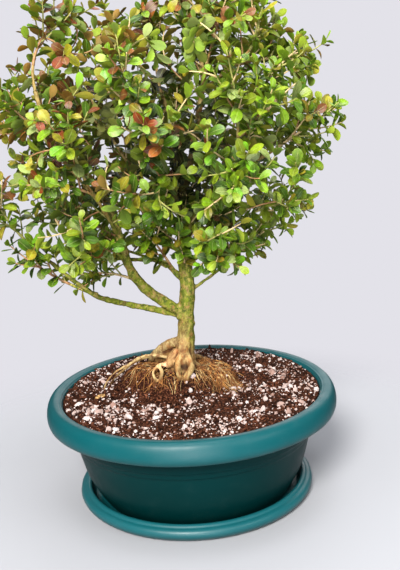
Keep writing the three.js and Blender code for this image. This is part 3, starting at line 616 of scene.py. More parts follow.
def plastic(name):
    """Satin moulded plastic, painted lighter upwards as painted light: flow marks, fine scratches and a haze
    of dust.
    """
    specular, body, painted_lit_colour, fades, dusty = PLASTICS[name]
    shader = Shader(name, 0.4, specular)
    flow = shader.span(shader.noise(14, 4, vector=shader.stretched((1, 1, 0.35))), 0.3, 0.7, -0.12, 0.12)
    # Painted light: the colour turns lighter towards the top
    share = shader.maths("ADD", shader.span(shader.axis(2), *fades), flow)
    colour = shader.mix(share, body, painted_lit_colour)
    colour = shader.over(colour, dusty, (70, 6, 0.7), (0.5, 0.85, 0, 0.02))
    specks = shader.span(shader.cells(900), 0.06, 0.14, 0.3, 0)
    patches = shader.span(shader.noise(30, 2), 0.56, 0.7)
    shader.set("Base Color", shader.mix(shader.times(specks, patches), colour, (176, 186, 178)))
    shader.set("Roughness", shader.span(shader.noise(60, 5, 0.6), 0.3, 0.75, 0.38, 0.5))
    shader.bump(shader.noise(350, 3), 0.05, 0.5)
    scratches = shader.noise(110, 4, vector=shader.stretched((1, 1, 14)))
    shader.bump(shader.span(scratches, 0.62, 0.7), 0.03, 0.35)
    return shader.material


def soil_material():
    shader = Shader("potting_mix", 0.9, 0.06)
    clods = shader.span(shader.noise(180, 5, 0.7), 0.3, 0.7)
    colour = shader.mix(clods, (11, 4, 2), (57, 29, 18))
    colour = shader.over(colour, (128, 80, 58), (520, 3), (0.52, 0.64))
    colour = shader.over(colour, (26, 13, 10), (40, 3), (0.35, 0.65, 0, 0.5))
    strands = shader.span(shader.noise(420, 4), 0.4, 0.68)
    matted = shader.mix(strands, (28, 14, 5), (118, 78, 38))
    mat = shader.times(shader.attribute("blade").outputs["Fac"], shader.span(clods, 0.1, 0.7, 0.4, 1))
    shader.set("Base Color", shader.mix(mat, colour, matted))
    shader.bump(shader.noise(700, 4, 0.7), 0.7, 0.9)
    return shader.material


def tinted_material(name):
    roughness, specular, layer, (grain, height, strength) = TINTED[name]
    shader = Shader(name, roughness, specular)
    shader.set("Base Color", shader.over(shader.tint(), *layer))
    shader.bump(shader.noise(*grain), height, strength)
    return shader.material


def perlite_material():
    """White expanded grains, pitted, and stained pinkish brown where they lie in the mix."""
    shader = Shader("perlite", 0.8, 0.3)
    colour = shader.over(shader.tint(), (188, 150, 140), (260, 4, 0.65), (0.5, 0.75, 0, 0.45))
    pits = shader.span(shader.cells(1500), 0.0, 0.25)
    # Painted shade: the pits are painted darker, pinkish grey
    shader.set("Base Color", shader.mix(pits, shader.mix(0.5, colour, (150, 124, 116)), colour))
    shader.bump(pits, 0.25, 0.7)
    return shader.material


def bark_material():
    """Tan bark with brown blotches low down, and green algae higher up and on the right."""
    shader = Shader("boxwood_bark", 0.75, 0.3)
    grain = shader.noise(240, 7, 0.72, vector=shader.stretched((1, 1, 0.4)))
    tan = shader.mix(shader.span(grain, 0.34, 0.64), (98, 64, 32), (164, 141, 90))
    tan = shader.over(tan, (138, 90, 44), (120, 6, 0.72), (0.48, 0.62, 0, 0.7))
    tan = shader.over(tan, (74, 44, 24), (260, 4), (0.6, 0.68, 0, 0.75))
    algae = shader.mix(shader.span(grain, 0.36, 0.62), (62, 76, 10), (114, 124, 24))
    algae = shader.over(algae, (150, 138, 66), (330, 5, 0.7), (0.52, 0.62))
    algae = shader.over(algae, (62, 62, 24), (260, 5, 0.7), (0.56, 0.64, 0, 0.8))
    right = shader.span(shader.axis(0), *ALGAE["side"])
    low = shader.times(right, shader.span(shader.axis(2), *ALGAE["low"]))
    damp = shader.maths("MAXIMUM", shader.span(shader.axis(2), *ALGAE["height"]), low)
    patch = shader.span(shader.noise(130, 7, 0.75), 0.34, 0.53)
    cover = shader.times(shader.times(damp, shader.span(shader.axis(2), *ALGAE["dry"])), patch)
    shader.set("Base Color", shader.mix(1.0, shader.mix(cover, tan, algae), shader.tint(), "MULTIPLY"))
    shader.bump(grain, 1.0, 0.8)
    shader.bump(shader.noise(420, 5, 0.7), 0.35, 0.8)
    return shader.material


def leaf_material():
    """A leathery blade: a pale midrib, faint side veins, and a paler, duller underside."""
    shader = Shader("boxwood_leaves", 0.34, 0.36)
    tint = shader.tint()
    blade = shader.attribute("blade").outputs["Color"]
    side, along, is_top = shader.node("ShaderNodeSeparateColor", {"Color": blade}).outputs
    across = shader.maths("ABSOLUTE", shader.maths("SUBTRACT", side, 0.5))
    mottle = shader.span(shader.noise(260, 5, 0.65), 0.34, 0.66, 0, 0.6)
    colour = shader.mix(mottle, tint, shader.mix(1.0, tint, (170, 150, 120), "MULTIPLY"))
    slant = shader.times(across, 44.0)
    veins = shader.maths("SINE", shader.maths("SUBTRACT", shader.times(along, 52.0), slant))
    pale = shader.mix(0.5, tint, (214, 220, 140))
    colour = shader.mix(shader.span(veins, 0.72, 1.0, 0, 0.12), colour, pale)
    colour = shader.mix(shader.span(across, 0.01, 0.04, 0.4, 0), colour, pale)
    under = shader.mix(0.25, tint, (152, 158, 62))
    shader.set("Base Color", shader.mix(is_top, under, colour))
    shader.set("Roughness", shader.span(is_top, 0, 1, 0.62, 0.4))
    shader.bump(shader.span(across, 0.0, 0.07), 0.18, 0.7)
    shader.bump(veins, 0.04, 0.5)
    shader.bump(shader.noise(500, 3), 0.06, 0.5)
    shader.set("Subsurface Weight", 0.12)
    shader.set("Subsurface Radius", (0.6, 1.0, 0.2))
    shader.set("Subsurface Scale", MM)
    return shader.material


def floor_material():
    """A white floor that fades out away from the part."""
    shader = Shader("pale_floor", 0.7, 0.2)
    shader.set("Base Color", linear(FLOOR_COLOUR))
    away = shader.node("ShaderNodeVectorMath", {0: shader.place()}, operation="LENGTH").outputs["Value"]
    shader.set("Alpha", shader.span(away, *FLOOR_FADE, 1, 0))
    return shader.material


# Pot and saucer


def rounded(runs):
    """An outline from runs of points, where a run of more than two points is a smooth curve."""
    outline = []
    for run in runs:
        flat = np.array([(r, 0.0, z) for r, z in run])
        line = through(flat, OUTLINE_STEP) if len(run) > 2 else flat
        outline.extend((float(r), float(z)) for r, _, z in line)
    return outline


def make_saucer():
    outline = rounded([
        [(0, 0.6), (98, 0.6)],
        [(99, 0), (116, 0)],
        [(119.5, 0.9), (123.2, 3.9), (125, 8), (124.2, 11.4), (121.8, 13.4)],
        [(120.2, 13.5), (119.2, 13.9)],
        [(118.7, 14.8), (117.3, 15.8), (115.6, 16), (114.2, 15.3), (113.4, 13.8), (111.6, 7.6),
         (109.9, 3.9)],
        [(108.4, 3.15), (106, SAUCER_FLOOR), (0, SAUCER_FLOOR)],
    ])
    dress(lathe("saucer_turned", outline, plastic("saucer_plastic")), "saucer_plastic", "saucer")


def make_pot():
    under = RIM_TOP - POT_WALL
    rim_foot = RIM_TOP - RIM_DEPTH
    outline = rounded([
        [(0, POT_BOTTOM + 2), (88, POT_BOTTOM + 0.2)],
        [(89, POT_BOTTOM), (99.8, POT_BOTTOM)],
        [(101, 3.9), (103.6, 8), (108.2, 16), (112.9, 25), SHOULDER, (121, 49.5), (124.9, 66)],
        [(125.6, 66.4), (125.8, 67), (127.1, 72.2)],
        [(127.9, 72.6), (128.1, 73.2), (132.4, 90), (136, under - 2), (137, under - 0.6), (138.5, under)],
        [(143.2, under), (145.3, under - 1), (146.2, under - 3), (147.8, 99), (148.5, rim_foot + 0.4)],
        [(148.9, rim_foot), (150.5, rim_foot)],
        [(151.4, rim_foot + 0.8), (152.2, 94.4), (RIM_RADIUS, 98), (152, 102), (151, 106.2), (149.2, 109.8),
         (146.6, 112.2), (144, RIM_TOP), (141.4, 112.3), (139.6, 111.7)],
        [(139.2, 111.3), (138.7, 111.5), (138, 111.4), (137.3, 110.4), (136, 107.4)],
        [(134.6, 102), (114.4, SHOULDER[1])],
        [(112.4, 28), (106, 14.6), (103, 9.6), (100, 8.5), (96, POT_FLOOR), (0, POT_FLOOR)],
    ])
    # Painted light and shade: the rim takes a lighter copy of the plastic and the wall below it a darker one
    pot = lathe("pot_turned", outline, plastic("pot_rim_lit_plastic"))
    pot.data.materials.append(plastic("pot_wall_shaded_plastic"))
    for face in pot.data.polygons:
        face.material_index = int(face.center.z < (rim_foot - 0.3) * MM)
    dress(pot, "pot_plastic", "pot")


# Soil


def pot_radius(height):
    """Inner radius of the pot at a height."""
    radii, heights = zip(*POT_INSIDE)
    return np.interp(height, heights, radii)


def mat_share(x, y):
    """0 in the middle of the root mat and 1 at its edge."""
    return np.hypot((x - MAT_CENTRE[0]) / MAT_HALF[0], (y - MAT_CENTRE[1]) / MAT_HALF[1])


def mound_offset(x, y):
    """How far a place lies from the mound's middle, as shares of the mound's reach to that side."""
    reach_x = np.where(x < MOUND_CENTRE[0], MOUND_REACH["left"], MOUND_REACH["right"])
    reach_y = np.where(y < MOUND_CENTRE[1], MOUND_REACH["front"], MOUND_REACH["back"])
    return (x - MOUND_CENTRE[0]) / reach_x, (y - MOUND_CENTRE[1]) / reach_y


def soil_height(x, y):
    """Height of the soil's surface: level, heaped up round the trunk, with the mat on the right."""
    dx, dy = mound_offset(x, y)
    share = np.hypot(dx, dy)
    sine, cosine = dx / np.maximum(share, 1e-6), dy / np.maximum(share, 1e-6)
    table = (
        sine ** 2 * np.where(sine < 0, MOUND_TABLE["left"], MOUND_TABLE["right"])
        + cosine ** 2 * np.where(cosine < 0, MOUND_TABLE["front"], MOUND_TABLE["back"])
    )
    height = SOIL_EDGE_TOP + MOUND_HEIGHT * (1 - smooth(table, 1, share))
    lean = MAT_SLOPE[0] * (x - MAT_CENTRE[0]) + MAT_SLOPE[1] * np.minimum(y - MAT_CENTRE[1], 0)
    on_mat = np.maximum(height, MAT_TOP + lean)
    height = height + (on_mat - height) * (1 - smooth(0.82, 1.1, mat_share(x, y)))
    rough = lumps(np.stack([x, y, np.zeros_like(x)], axis=-1), SOIL_LUMPS, 1)
    settled = 1.2 * smooth(118, 134, np.hypot(x, y)) * smooth(60, 0, y)
    heaped_back = 2.6 * smooth(30, 110, y)
    return height + rough - settled + heaped_back


def on_soil(x, y, above=0.0):
    """Places on the soil's surface, or a little above it."""
    return np.column_stack([x, y, soil_height(x, y) + above])


def disc(edge, spacing):
    """A disc of rings of points, each with six more than the one inside, and the faces between them."""
    rings = int(edge / spacing)
    points = [np.array([[0.0, 0.0]])]
    counts = [1]
    for ring in range(1, rings + 1):
        radius = edge * ring / rings
        count = 6 * ring
        angles = 2 * np.pi * (np.arange(count) + 0.5 * (ring % 2)) / count
        points.append(np.stack([radius * np.cos(angles), radius * np.sin(angles)], 1))
        counts.append(count)
    starts = np.cumsum([0, *counts])
    faces = []
    for ring in range(rings):
        inner, outer = starts[ring], starts[ring + 1]
        n_in, n_out = counts[ring], counts[ring + 1]
        shift_in, shift_out = 0.5 * (ring % 2), 0.5 * ((ring + 1) % 2)
        i = j = 0
        while i < n_in * (ring > 0) or j < n_out:
            at_in = (i + 1 + shift_in) / n_in if ring else 2
            at_out = (j + 1 + shift_out) / n_out
            if j < n_out and (at_out <= at_in or i >= n_in or not ring):
                faces.append((inner + i % n_in, outer + j % n_out, outer + (j + 1) % n_out))
                j += 1
            else:
                faces.append((inner + i % n_in, outer + j % n_out, inner + (i + 1) % n_in))
                i += 1
    return np.concatenate(points), faces, counts[-1]


def make_soil():
    """The uneven surface, and under it the sides and the floor, a little smaller than the pot's inside."""
    skin = Skin()
    edge = pot_radius(SOIL_EDGE_TOP - 1) - 2 * GAP
    flat, faces, count = disc(edge, SOIL_SPACING)
    jitter = rng.uniform(-0.3, 0.3, flat.shape) * (np.hypot(*flat.T) < edge - 2)[:, None]
    top = on_soil(*(flat + jitter).T)
    total = len(top)
    last = total - count
    angles = np.arctan2(top[last:, 1], top[last:, 0])
    below = []
    for level in (SOIL_EDGE_TOP - 6, SHOULDER[1], POT_FLOOR + GAP):
        radius = pot_radius(level) - 2 * GAP
        below.append(np.column_stack([radius * np.cos(angles), radius * np.sin(angles), 0 * angles + level]))
    levels = [last, total, total + count, total + 2 * count]
    pairs = [(i, (i + 1) % count) for i in range(count)]
    for high, low in zip(levels, levels[1:]):
        faces.extend((high + i, low + i, low + j, high + j) for i, j in pairs)
    faces.extend((total + 3 * count, levels[-1] + j, levels[-1] + i) for i, j in pairs)
    points = np.concatenate([top, *below, [[0, 0, POT_FLOOR + GAP]]])
    matted = 1 - smooth(0.6, 1.15, mat_share(points[:, 0], points[:, 1]))
    skin.add(points, faces, (1, 1, 1), matted[:, None])
    dress(skin.to_object("soil_surface", [soil_material()]), "potting_mix", "soil")


def ball(subdivisions):
    """Vertices and triangles of a ball made of triangles."""
    form = bmesh.new()
    bmesh.ops.create_icosphere(form, subdivisions=subdivisions, radius=1)
    points = np.array([vertex.co for vertex in form.verts])
    faces = np.array([[vertex.index for vertex in face.verts] for face in form.faces])
    form.free()
    return points, faces


def turns(count):
    """Random rotations, as (count, 3, 3)."""
    axes = unit(rng.normal(size=(count, 3)))
    angles = rng.uniform(0, 2 * np.pi, count)
    return np.array([Matrix.Rotation(angle, 3, axis) for angle, axis in zip(angles, axes)])


def scatter(skin, centres, sizes, form, uneven, tints, subdivisions):
    """Adds an uneven grain of the given form and size at each centre."""
    points, faces = ball(subdivisions)
    count = len(centres)
    scale = sizes[:, None, None] / 2 * np.array(form) * rng.uniform(0.75, 1.25, (count, 1, 3))
    bumps = rng.uniform(1 - uneven, 1 + uneven, (count, len(points), 1))
    grains = np.einsum("kij,kmj->kmi", turns(count), points * scale * bumps) + centres[:, None]
    faces = faces + np.arange(count)[:, None, None] * len(points)
    skin.add(grains.reshape(-1, 3), faces.reshape(-1, 3), np.repeat(tints, len(points), axis=0))


def spots(count, keep):
    """Random places on the soil, kept with the chance that keep(x, y) gives."""
    edge = pot_radius(SOIL_EDGE_TOP) - 2.5
    radius = edge * np.sqrt(rng.uniform(0, 1, count))
    angle = rng.uniform(0, 2 * np.pi, count)
    x, y = radius * np.cos(angle), radius * np.sin(angle)
    kept = rng.uniform(0, 1, count) < keep(x, y)
    return x[kept], y[kept]


def perlite_share(x, y):
    """The chance that a grain stays: clumped over the level mix, and rare on the heaped root ball."""
    on_root_ball = 1 - smooth(0.62, 1.02, np.hypot(*mound_offset(x, y)))
    clumps = np.clip(0.46 + 0.6 * lattice_noise(np.column_stack([x, y, 0 * x]), 15, 6), 0.12, 1)
    return (1 - 0.93 * on_root_ball) * clumps


def crumb_share(x, y):
    """The chance that a crumb stays, which is the same all over."""
    return np.full(len(x), CRUMBS_KEPT)


def shades(count, low, high):
    """A colour between two screen colours for each of count grains."""
    return linear(low) + (linear(high) - linear(low)) * rng.uniform(0, 1, (count, 1))


def strew(skin, groups, keep, colours, sink, uneven):
    """Adds the groups of grains, each sunk into the soil by a share of its size."""
    for tries, limits, form, subdivisions in groups:
        x, y = spots(tries, keep)
        sizes = rng.uniform(*limits, len(x))
        tints = shades(len(x), *colours)
        scatter(skin, on_soil(x, y, sink * sizes), sizes, form, uneven, tints, subdivisions)


def finish_grains(skin, name, material):
    piece = skin.to_object(name, [material])
    piece.data.shade_flat()
    dress(piece, "potting_mix", "soil")


def make_grains():
    white = Skin()
    strew(white, PERLITE_GRAINS, perlite_share, PERLITE_COLOURS, 0.12, 0.2)
    finish_grains(white, "perlite_grains", perlite_material())
    brown = Skin()
    strew(brown, CRUMB_GRAINS, crumb_share, CRUMB_COLOURS, 0.05, 0.3)
    chip = on_soil(*np.array([CHIP["place"]]).T, 1.6)
    scatter(brown, chip, np.array([CHIP["size"]]), CHIP["form"], 0.18, linear(CHIP["colour"])[None], 2)
    finish_grains(brown, "bark_crumbs", tinted_material("bark_crumbs"))


def fibre(skin, start, turn, length, radius, lift, tint):
    """A fine root that wanders over the soil's surface from a start and sinks in at its end."""
    steps = max(5, int(length / FIBRE_STEP))
    line = [np.array(start, float)]
    for step in range(steps):
        turn += rng.normal(0, 0.28)
        here = line[-1] + FIBRE_STEP * np.array([math.cos(turn), math.sin(turn), 0])
        share = (step + 1) / steps
        surface = soil_height(here[:1], here[1:2])[0]
        hover = lift * math.sin(math.pi * min(1, share * 1.15)) * rng.uniform(0.5, 1.2)
        goal = surface + radius * 0.6 + hover - 2.0 * max(0, share - 0.85) / 0.15
        here[2] = line[-1][2] + (goal - line[-1][2]) * min(1, 0.35 + share)
        line.append(here)
    skin.add(*tube(np.array(line), np.linspace(radius, radius * 0.45, len(line)), 4), tint)


def make_fibres():
    skin = Skin()
    for count, middle, half, headings, lengths, lift in FIBRES:
        for _ in range(count):
            x, y = np.array(middle) + np.array(half) * rng.uniform(-1, 1, 2)
            z = soil_height(np.array([x]), np.array([y]))[0] + rng.uniform(0.2, 2.5)
            turn = rng.uniform(*headings)
            tint = linear(FIBRE_COLOURS[rng.integers(len(FIBRE_COLOURS))]) * rng.uniform(0.75, 1.1)
            radius = rng.choice(FIBRE_RADII, p=FIBRE_RADIUS_SHARES)
            fibre(skin, (x, y, z), turn, rng.uniform(*lengths), radius, lift, tint)
    dress(skin.to_object("root_fibres", [tinted_material("root_fibres")]), "bark", "tree_wood")


# Wood


def tapered(stems):
    """Stems given as first radius, last radius and points, as (points, radii)."""
    return [(points, np.linspace(start, end, len(points))) for start, end, points in stems.values()]


def limb_lists():
    """The trunk and the limbs as (points, radii)."""
    return [(TRUNK["points"], np.array(TRUNK["radii"], float)), *tapered(LIMBS)]


def fine_line(stem, radii):
    line = through(stem, WOOD_STEP)
    return line, spread(radii, stem, line)


def make_trunk(material):
    """Trunk, limbs and roots run together into one skin, with uneven, furrowed bark."""
    skin = Skin()
    for number, (stem, radii) in enumerate([*limb_lists(), *tapered(ROOTS)]):
        line, widths = fine_line(stem, radii)
        uneven = 1 + 0.09 * lattice_noise(line + 40 * number, 9, 8)
        skin.add(*tube(line, widths * uneven, WOOD_SIDES), (1, 1, 1))
    points, faces = ball(2)
    for place, radius in make_knots():
        skin.add(points * radius + place, faces, (1, 1, 1))
    piece = skin.to_object("trunk_limbs_roots", [material])
    remesh = piece.modifiers.new("one_skin", "REMESH")
    remesh.mode = "VOXEL"
    remesh.voxel_size = WOOD_VOXEL * MM
    soften = piece.modifiers.new("soften", "SMOOTH")
    soften.factor = 0.5
    soften.iterations = 4
    graph = bpy.context.evaluated_depsgraph_get()
    piece.data = bpy.data.meshes.new_from_object(piece.evaluated_get(graph))
    piece.modifiers.clear()
    furrow(piece.data)
    piece.data.shade_smooth()
    stain(piece.data)
    dress(piece, "bark", "tree_wood")


def stain(mesh):
    """Paler and redder roots, soil on their feet, painted shade in creases and in two hollows, and painted
    shade on the trunk inside the crown.
    """
    points = vectors(mesh.vertices, "co") / MM
    tints = np.ones((len(points), 3))
    low = np.flatnonzero(points[:, 2] < ROOTS_BELOW)
    feet = points[low]

    def blend(tint, share):
        tints[low] *= 1 + (np.array(tint) - 1) * share[:, None]

    for name, tint in ROOT_TINTS.items():
        start, end, stem = ROOTS[name]
        line = np.array(stem, float)
        radii = np.linspace(start, end, len(line))
        blend(tint, 1 - smooth(0.3, 2.5, clearance(feet, list(zip(line, line[1:], radii)))))
    # Painted shade: darker in the creases, where the skin lies below its smoothed self
    blend(CREVICE_SHADE, smooth(0.12, 0.8, hollows(mesh, points)[low]))
    # Painted shade: darker in those two hollows
    for place, size in HOLLOW_SHADES:
        painted_shade = 1 - smooth(0.5, 1.1, np.linalg.norm(feet - place, axis=1) / size)
        tints[low] *= 1 - 0.75 * painted_shade[:, None]
    above = feet[:, 2] - soil_height(feet[:, 0], feet[:, 1])
    blend(DIRT, 1 - smooth(1.0, 7.0, above + 2.5 * lattice_noise(feet, 5, 33)))
    x, _, z = points.T
    # Painted shade: the trunk is darkened where it runs up inside the crown
    shaded = smooth(262, 312, z) * smooth(60, 10, np.abs(x)) * smooth(420, 350, z)
    tints *= 1 - 0.62 * shaded[:, None]
    tints *= 1 + (np.array(YOUNG_WOOD) - 1) * smooth(310, 380, z)[:, None]
    paint(mesh, "tint", tints)


def hollows(mesh, points):
    """How many millimetres each vertex lies below the skin as smoothed around it."""
    count = len(points)
    ends = np.empty(2 * len(mesh.edges), dtype=int)
    mesh.edges.foreach_get("vertices", ends)
    a, b = ends[0::2], ends[1::2]
    neighbours = np.bincount(ends, minlength=count)[:, None]
    even = points
    for _ in range(HOLLOW_SMOOTHINGS):
        around = [np.bincount(a, near[b], count) + np.bincount(b, near[a], count) for near in even.T]
        even = np.stack(around, axis=1) / neighbours
    return np.sum((even - points) * vectors(mesh.vertex_normals, "vector"), axis=1)


def make_knots():
    """Burls and the stubs of lost twigs, as (place, radius)."""
    knots = list(BURLS)
    for number, (stem, radii) in enumerate(limb_lists()[1:]):
        line, widths = fine_line(stem, radii)
        for step in range(4, len(line) - 3, 5):
            if chance(number, step, 51) < KNOT_CHANCE:
                place = line[step] + unit(stray(number, step, 52)) * widths[step] * 0.75
                knots.append((place, widths[step] * (0.35 + 0.25 * chance(step, number, 55))))
    return knots


def furrow(mesh):
    """Moves the skin in and out along its normals, as bark."""
    points = vectors(mesh.vertices, "co") / MM
    normals = vectors(mesh.vertex_normals, "vector")
    thin = smooth(300, 460, points[:, 2])
    moved = points + normals * (lumps(points, BARK_RELIEF, 21) * (1 - 0.6 * thin))[:, None]
    mesh.vertices.foreach_set("co", (moved * MM).ravel())
    mesh.update()


# Shoots: the same rule as the solids follow, so that each spray grows where its solid is


def crown_reach(direction):
    """The distance from the crown's middle to its surface in a direction."""
    flat = math.hypot(direction[0], direction[2])
    dx, dz = direction[0] / flat, direction[2] / flat
    reach = 0
    for (ax, az), (bx, bz) in zip(CROWN_OUTLINE, [*CROWN_OUTLINE[1:], CROWN_OUTLINE[0]]):
        px, pz = ax - CROWN_MIDDLE[0], az - CROWN_MIDDLE[2]
        ex, ez = bx - ax, bz - az
        turn = dx * ez - dz * ex
        distance = (px * ez - pz * ex) / turn
        share = (px * dz - pz * dx) / turn
        if distance > 0 and 0 <= share <= 1:
            reach = max(reach, distance)
    return 1 / math.hypot(flat / reach, direction[1] / CROWN_HALF_DEPTH)


def crown_point(direction, share):
    return CROWN_MIDDLE + direction * share * crown_reach(direction)


class Shoot:
    """A curved shoot from a place on a limb: bare wood up to wood_end, and a leafy twig from there."""

    def __init__(self, start, heading, distance, tip, radius=0.0):
        self.start, self.bend, self.tip = start, start + heading * distance / 2, tip
        self.radius, self.wood_end = radius, 0.0
        chord = np.linalg.norm(tip - start)
        self.length = (np.linalg.norm(start - self.bend) + np.linalg.norm(self.bend - tip) + chord) / 2

    def on(self, t):
        return self.start * (1 - t) ** 2 + self.bend * 2 * t * (1 - t) + self.tip * t ** 2

    def along(self, t):
        return unit((self.bend - self.start) * (1 - t) + (self.tip - self.bend) * t)

    def line(self, start, end, step):
        count = max(2, math.ceil((end - start) * self.length / step) + 1)
        return np.array([self.on(t) for t in np.linspace(start, end, count)])

    def pieces(self, start, end, radius):
        """Straight pieces (a, b, radius) along a stretch."""
        steps = max(1, math.ceil((end - start) * self.length / LIMB_STEP))
        cuts = [self.on(start + (end - start) * i / steps) for i in range(steps + 1)]
        return [(a, b, radius) for a, b in zip(cuts, cuts[1:])]


def make_shoot(place, tip, seed):
    away = tip - place["point"]
    lead = END_LEAD if place["is_end"] else SIDE_LEAD
    aside = (stray(seed, 1) + (0, 0, 0.5)) * SHOOT_SWAY
    heading = unit(place["along"] * lead["along"] + unit(away) * lead["away"] + aside)
    shoot = Shoot(place["point"], heading, np.linalg.norm(away), tip, place["radius"])
    wood = max(0 if place["is_end"] else place["radius"] + BRANCH_COLLAR, shoot.length - TWIG_LENGTH)
    shoot.wood_end = 0.0 if wood < BRANCH_SHORTEST else wood / shoot.length
    return shoot


def limb_pieces():
    """The trunk and limbs in straight pieces (a, b, radius)."""
    return [
        (np.array(a, float), np.array(b, float), float(radius))
        for points, radii in limb_lists() for a, b, radius in zip(points, points[1:], radii)
    ]


def clearance(samples, pieces):
    """The least room between each sample and the surface of any piece."""
    a, b, radius = (np.array(column) for column in zip(*pieces))
    line = b - a
    away = np.asarray(samples)[:, None] - a
    t = np.clip(np.sum(away * line, axis=2) / np.sum(line * line, axis=1), 0, 1)
    return (np.linalg.norm(away - line * t[..., None], axis=2) - radius).min(axis=1)


def is_clear(part, pieces, margin):
    """True if the part, given as straight pieces, has more than the margin to all the other pieces."""
    samples = [point for a, b, _ in part for point in (a, (a + b) / 2, b)]
    return not samples or not pieces or bool((clearance(samples, pieces) > margin).all())


def limb_places():
    """Places on the limbs where a shoot can start."""
    places = []
    for points, radii in limb_lists()[1:]:
        for i in range(1, len(points)):
            start, end = np.array(points[i - 1], float), np.array(points[i], float)
            steps = math.ceil(np.linalg.norm(end - start) / LIMB_STEP)
            for step in range(1, steps + 1):
                share = step / steps
                if i == 1 and share < FORK_SHARE:
                    continue
                places.append({
                    "point": start + (end - start) * share,
                    "along": unit(end - start),
                    "radius": float(between(radii[i - 1:i + 1], share)),
                    "is_end": i == len(points) - 1 and step == steps,
                    "used": False,
                })
    return places


def end_tip(place, seed, attempt):
    """Where the shoot on a limb's end goes: ahead and outwards to the crown's surface."""
    outward = unit(place["point"] - CROWN_MIDDLE)
    heading = unit(place["along"] + outward * 0.8 + stray(seed, 3) * 0.12 * attempt)
    ahead = unit(place["point"] + heading * 120 - CROWN_MIDDLE)
    rim = crown_point(ahead, CROWN_SHARE)
    reach = np.clip(np.linalg.norm(place["point"] - rim), SHORTEST_SPRAY, TWIG_LENGTH * 1.25)
    return place["point"] + unit(rim - place["point"]) * reach


def even_tips():
    """Places spread evenly over the crown's surface, those that follow each other far apart."""
    for i in range(SPRAY_CANDIDATES):
        number = (i * 89) % SPRAY_CANDIDATES
        z = 1 - (2 * (number + 0.5)) / SPRAY_CANDIDATES
        turn = number * math.pi * (3 - math.sqrt(5))
        flat = math.sqrt(1 - z * z)
        yield crown_point(np.array([flat * math.cos(turn), flat * math.sin(turn), z]), CROWN_SHARE)


def best_places(places, tip):
    """Free places far enough from a tip, with the nearest and those that point to it first."""
    free = []
    costs = []
    for place in places:
        away = tip - place["point"]
        distance = np.linalg.norm(away)
        if not place["used"] and distance > SHORTEST_SPRAY + LIMB_STEP:
            free.append(place)
            costs.append(1.5 * distance - 0.5 * away @ place["along"])
    return [free[i] for i in np.argsort(costs, kind="stable")[:SPRAY_TRIES]]


def plan_shoots(places):
    """Where the leafy shoots grow: one on each limb's end, the others evenly over the crown."""
    wood = limb_pieces()
    twigs = []
    shoots = []

    def try_shoot(place, tip, seed):
        shoot = make_shoot(place, tip, seed)
        leafy_from = shoot.wood_end + SIDE_NODE_ROOM / shoot.length
        foot = [] if place["is_end"] else shoot.pieces(shoot.wood_end, leafy_from, TWIG_RADIUS)
        twig = shoot.pieces(leafy_from, 1, TWIG_RADIUS)
        branch = shoot.pieces(0, shoot.wood_end, BRANCH_RADIUS) if shoot.wood_end > 0 else []
        rooms = (
            (foot, wood, FOOT_FROM_WOOD), (twig, wood, TWIG_FROM_WOOD),
            (twig, twigs, TWIG_FROM_TWIG), (branch, twigs, WOOD_FROM_TWIG),
        )
        if not all(is_clear(*room) for room in rooms):
            return False
        wood.extend(branch)
        twigs.extend(shoot.pieces(shoot.wood_end, 1, TWIG_RADIUS))
        shoots.append(shoot)
        place["used"] = True
        return True

    for place in places:
        if place["is_end"]:
            for attempt in range(SPRAY_TRIES):
                seed = 100 + len(shoots) * 10 + attempt
                if try_shoot(place, end_tip(place, seed, attempt), seed):
                    break
    for i, tip in enumerate(even_tips()):
        if all(np.linalg.norm(shoot.tip - tip) >= SPRAY_SPACING for shoot in shoots):
            for attempt, place in enumerate(best_places(places, tip)):
                if try_shoot(place, tip, 1000 + i * 10 + attempt):
                    break
    return shoots


# Leaves


def leaf_form():
    """One blade's points as (across, along, thickness), its faces, and how many points are on top."""
    points = []
    faces = []
    for side, across in ((1, (-1.0, -0.5, 0.0, 0.5, 1.0)), (-1, (-1.0, 0.0, 1.0))):
        first = len(points)
        wide = len(across)
        points.append((0, 0, 0))
        for v in LEAF_STATIONS[1:-1]:
            points.extend((u, v, side * (1 - u * u)) for u in across)
        points.append((0, 1, 0))
        last = first + 1 + wide * (len(LEAF_STATIONS) - 3)
        quads = []
        for k in range(wide - 1):
            quads.append((first, first + 2 + k, first + 1 + k))
            quads.append((last + k, last + k + 1, last + wide))
            for low in range(first + 1 + k, last + k, wide):
                quads.append((low, low + 1, low + wide + 1, low + wide))
        faces.extend(quads if side > 0 else [tuple(reversed(face)) for face in quads])
    return np.array(points, float), faces, first


LEAF_POINTS, LEAF_FACES, LEAF_TOP = leaf_form()


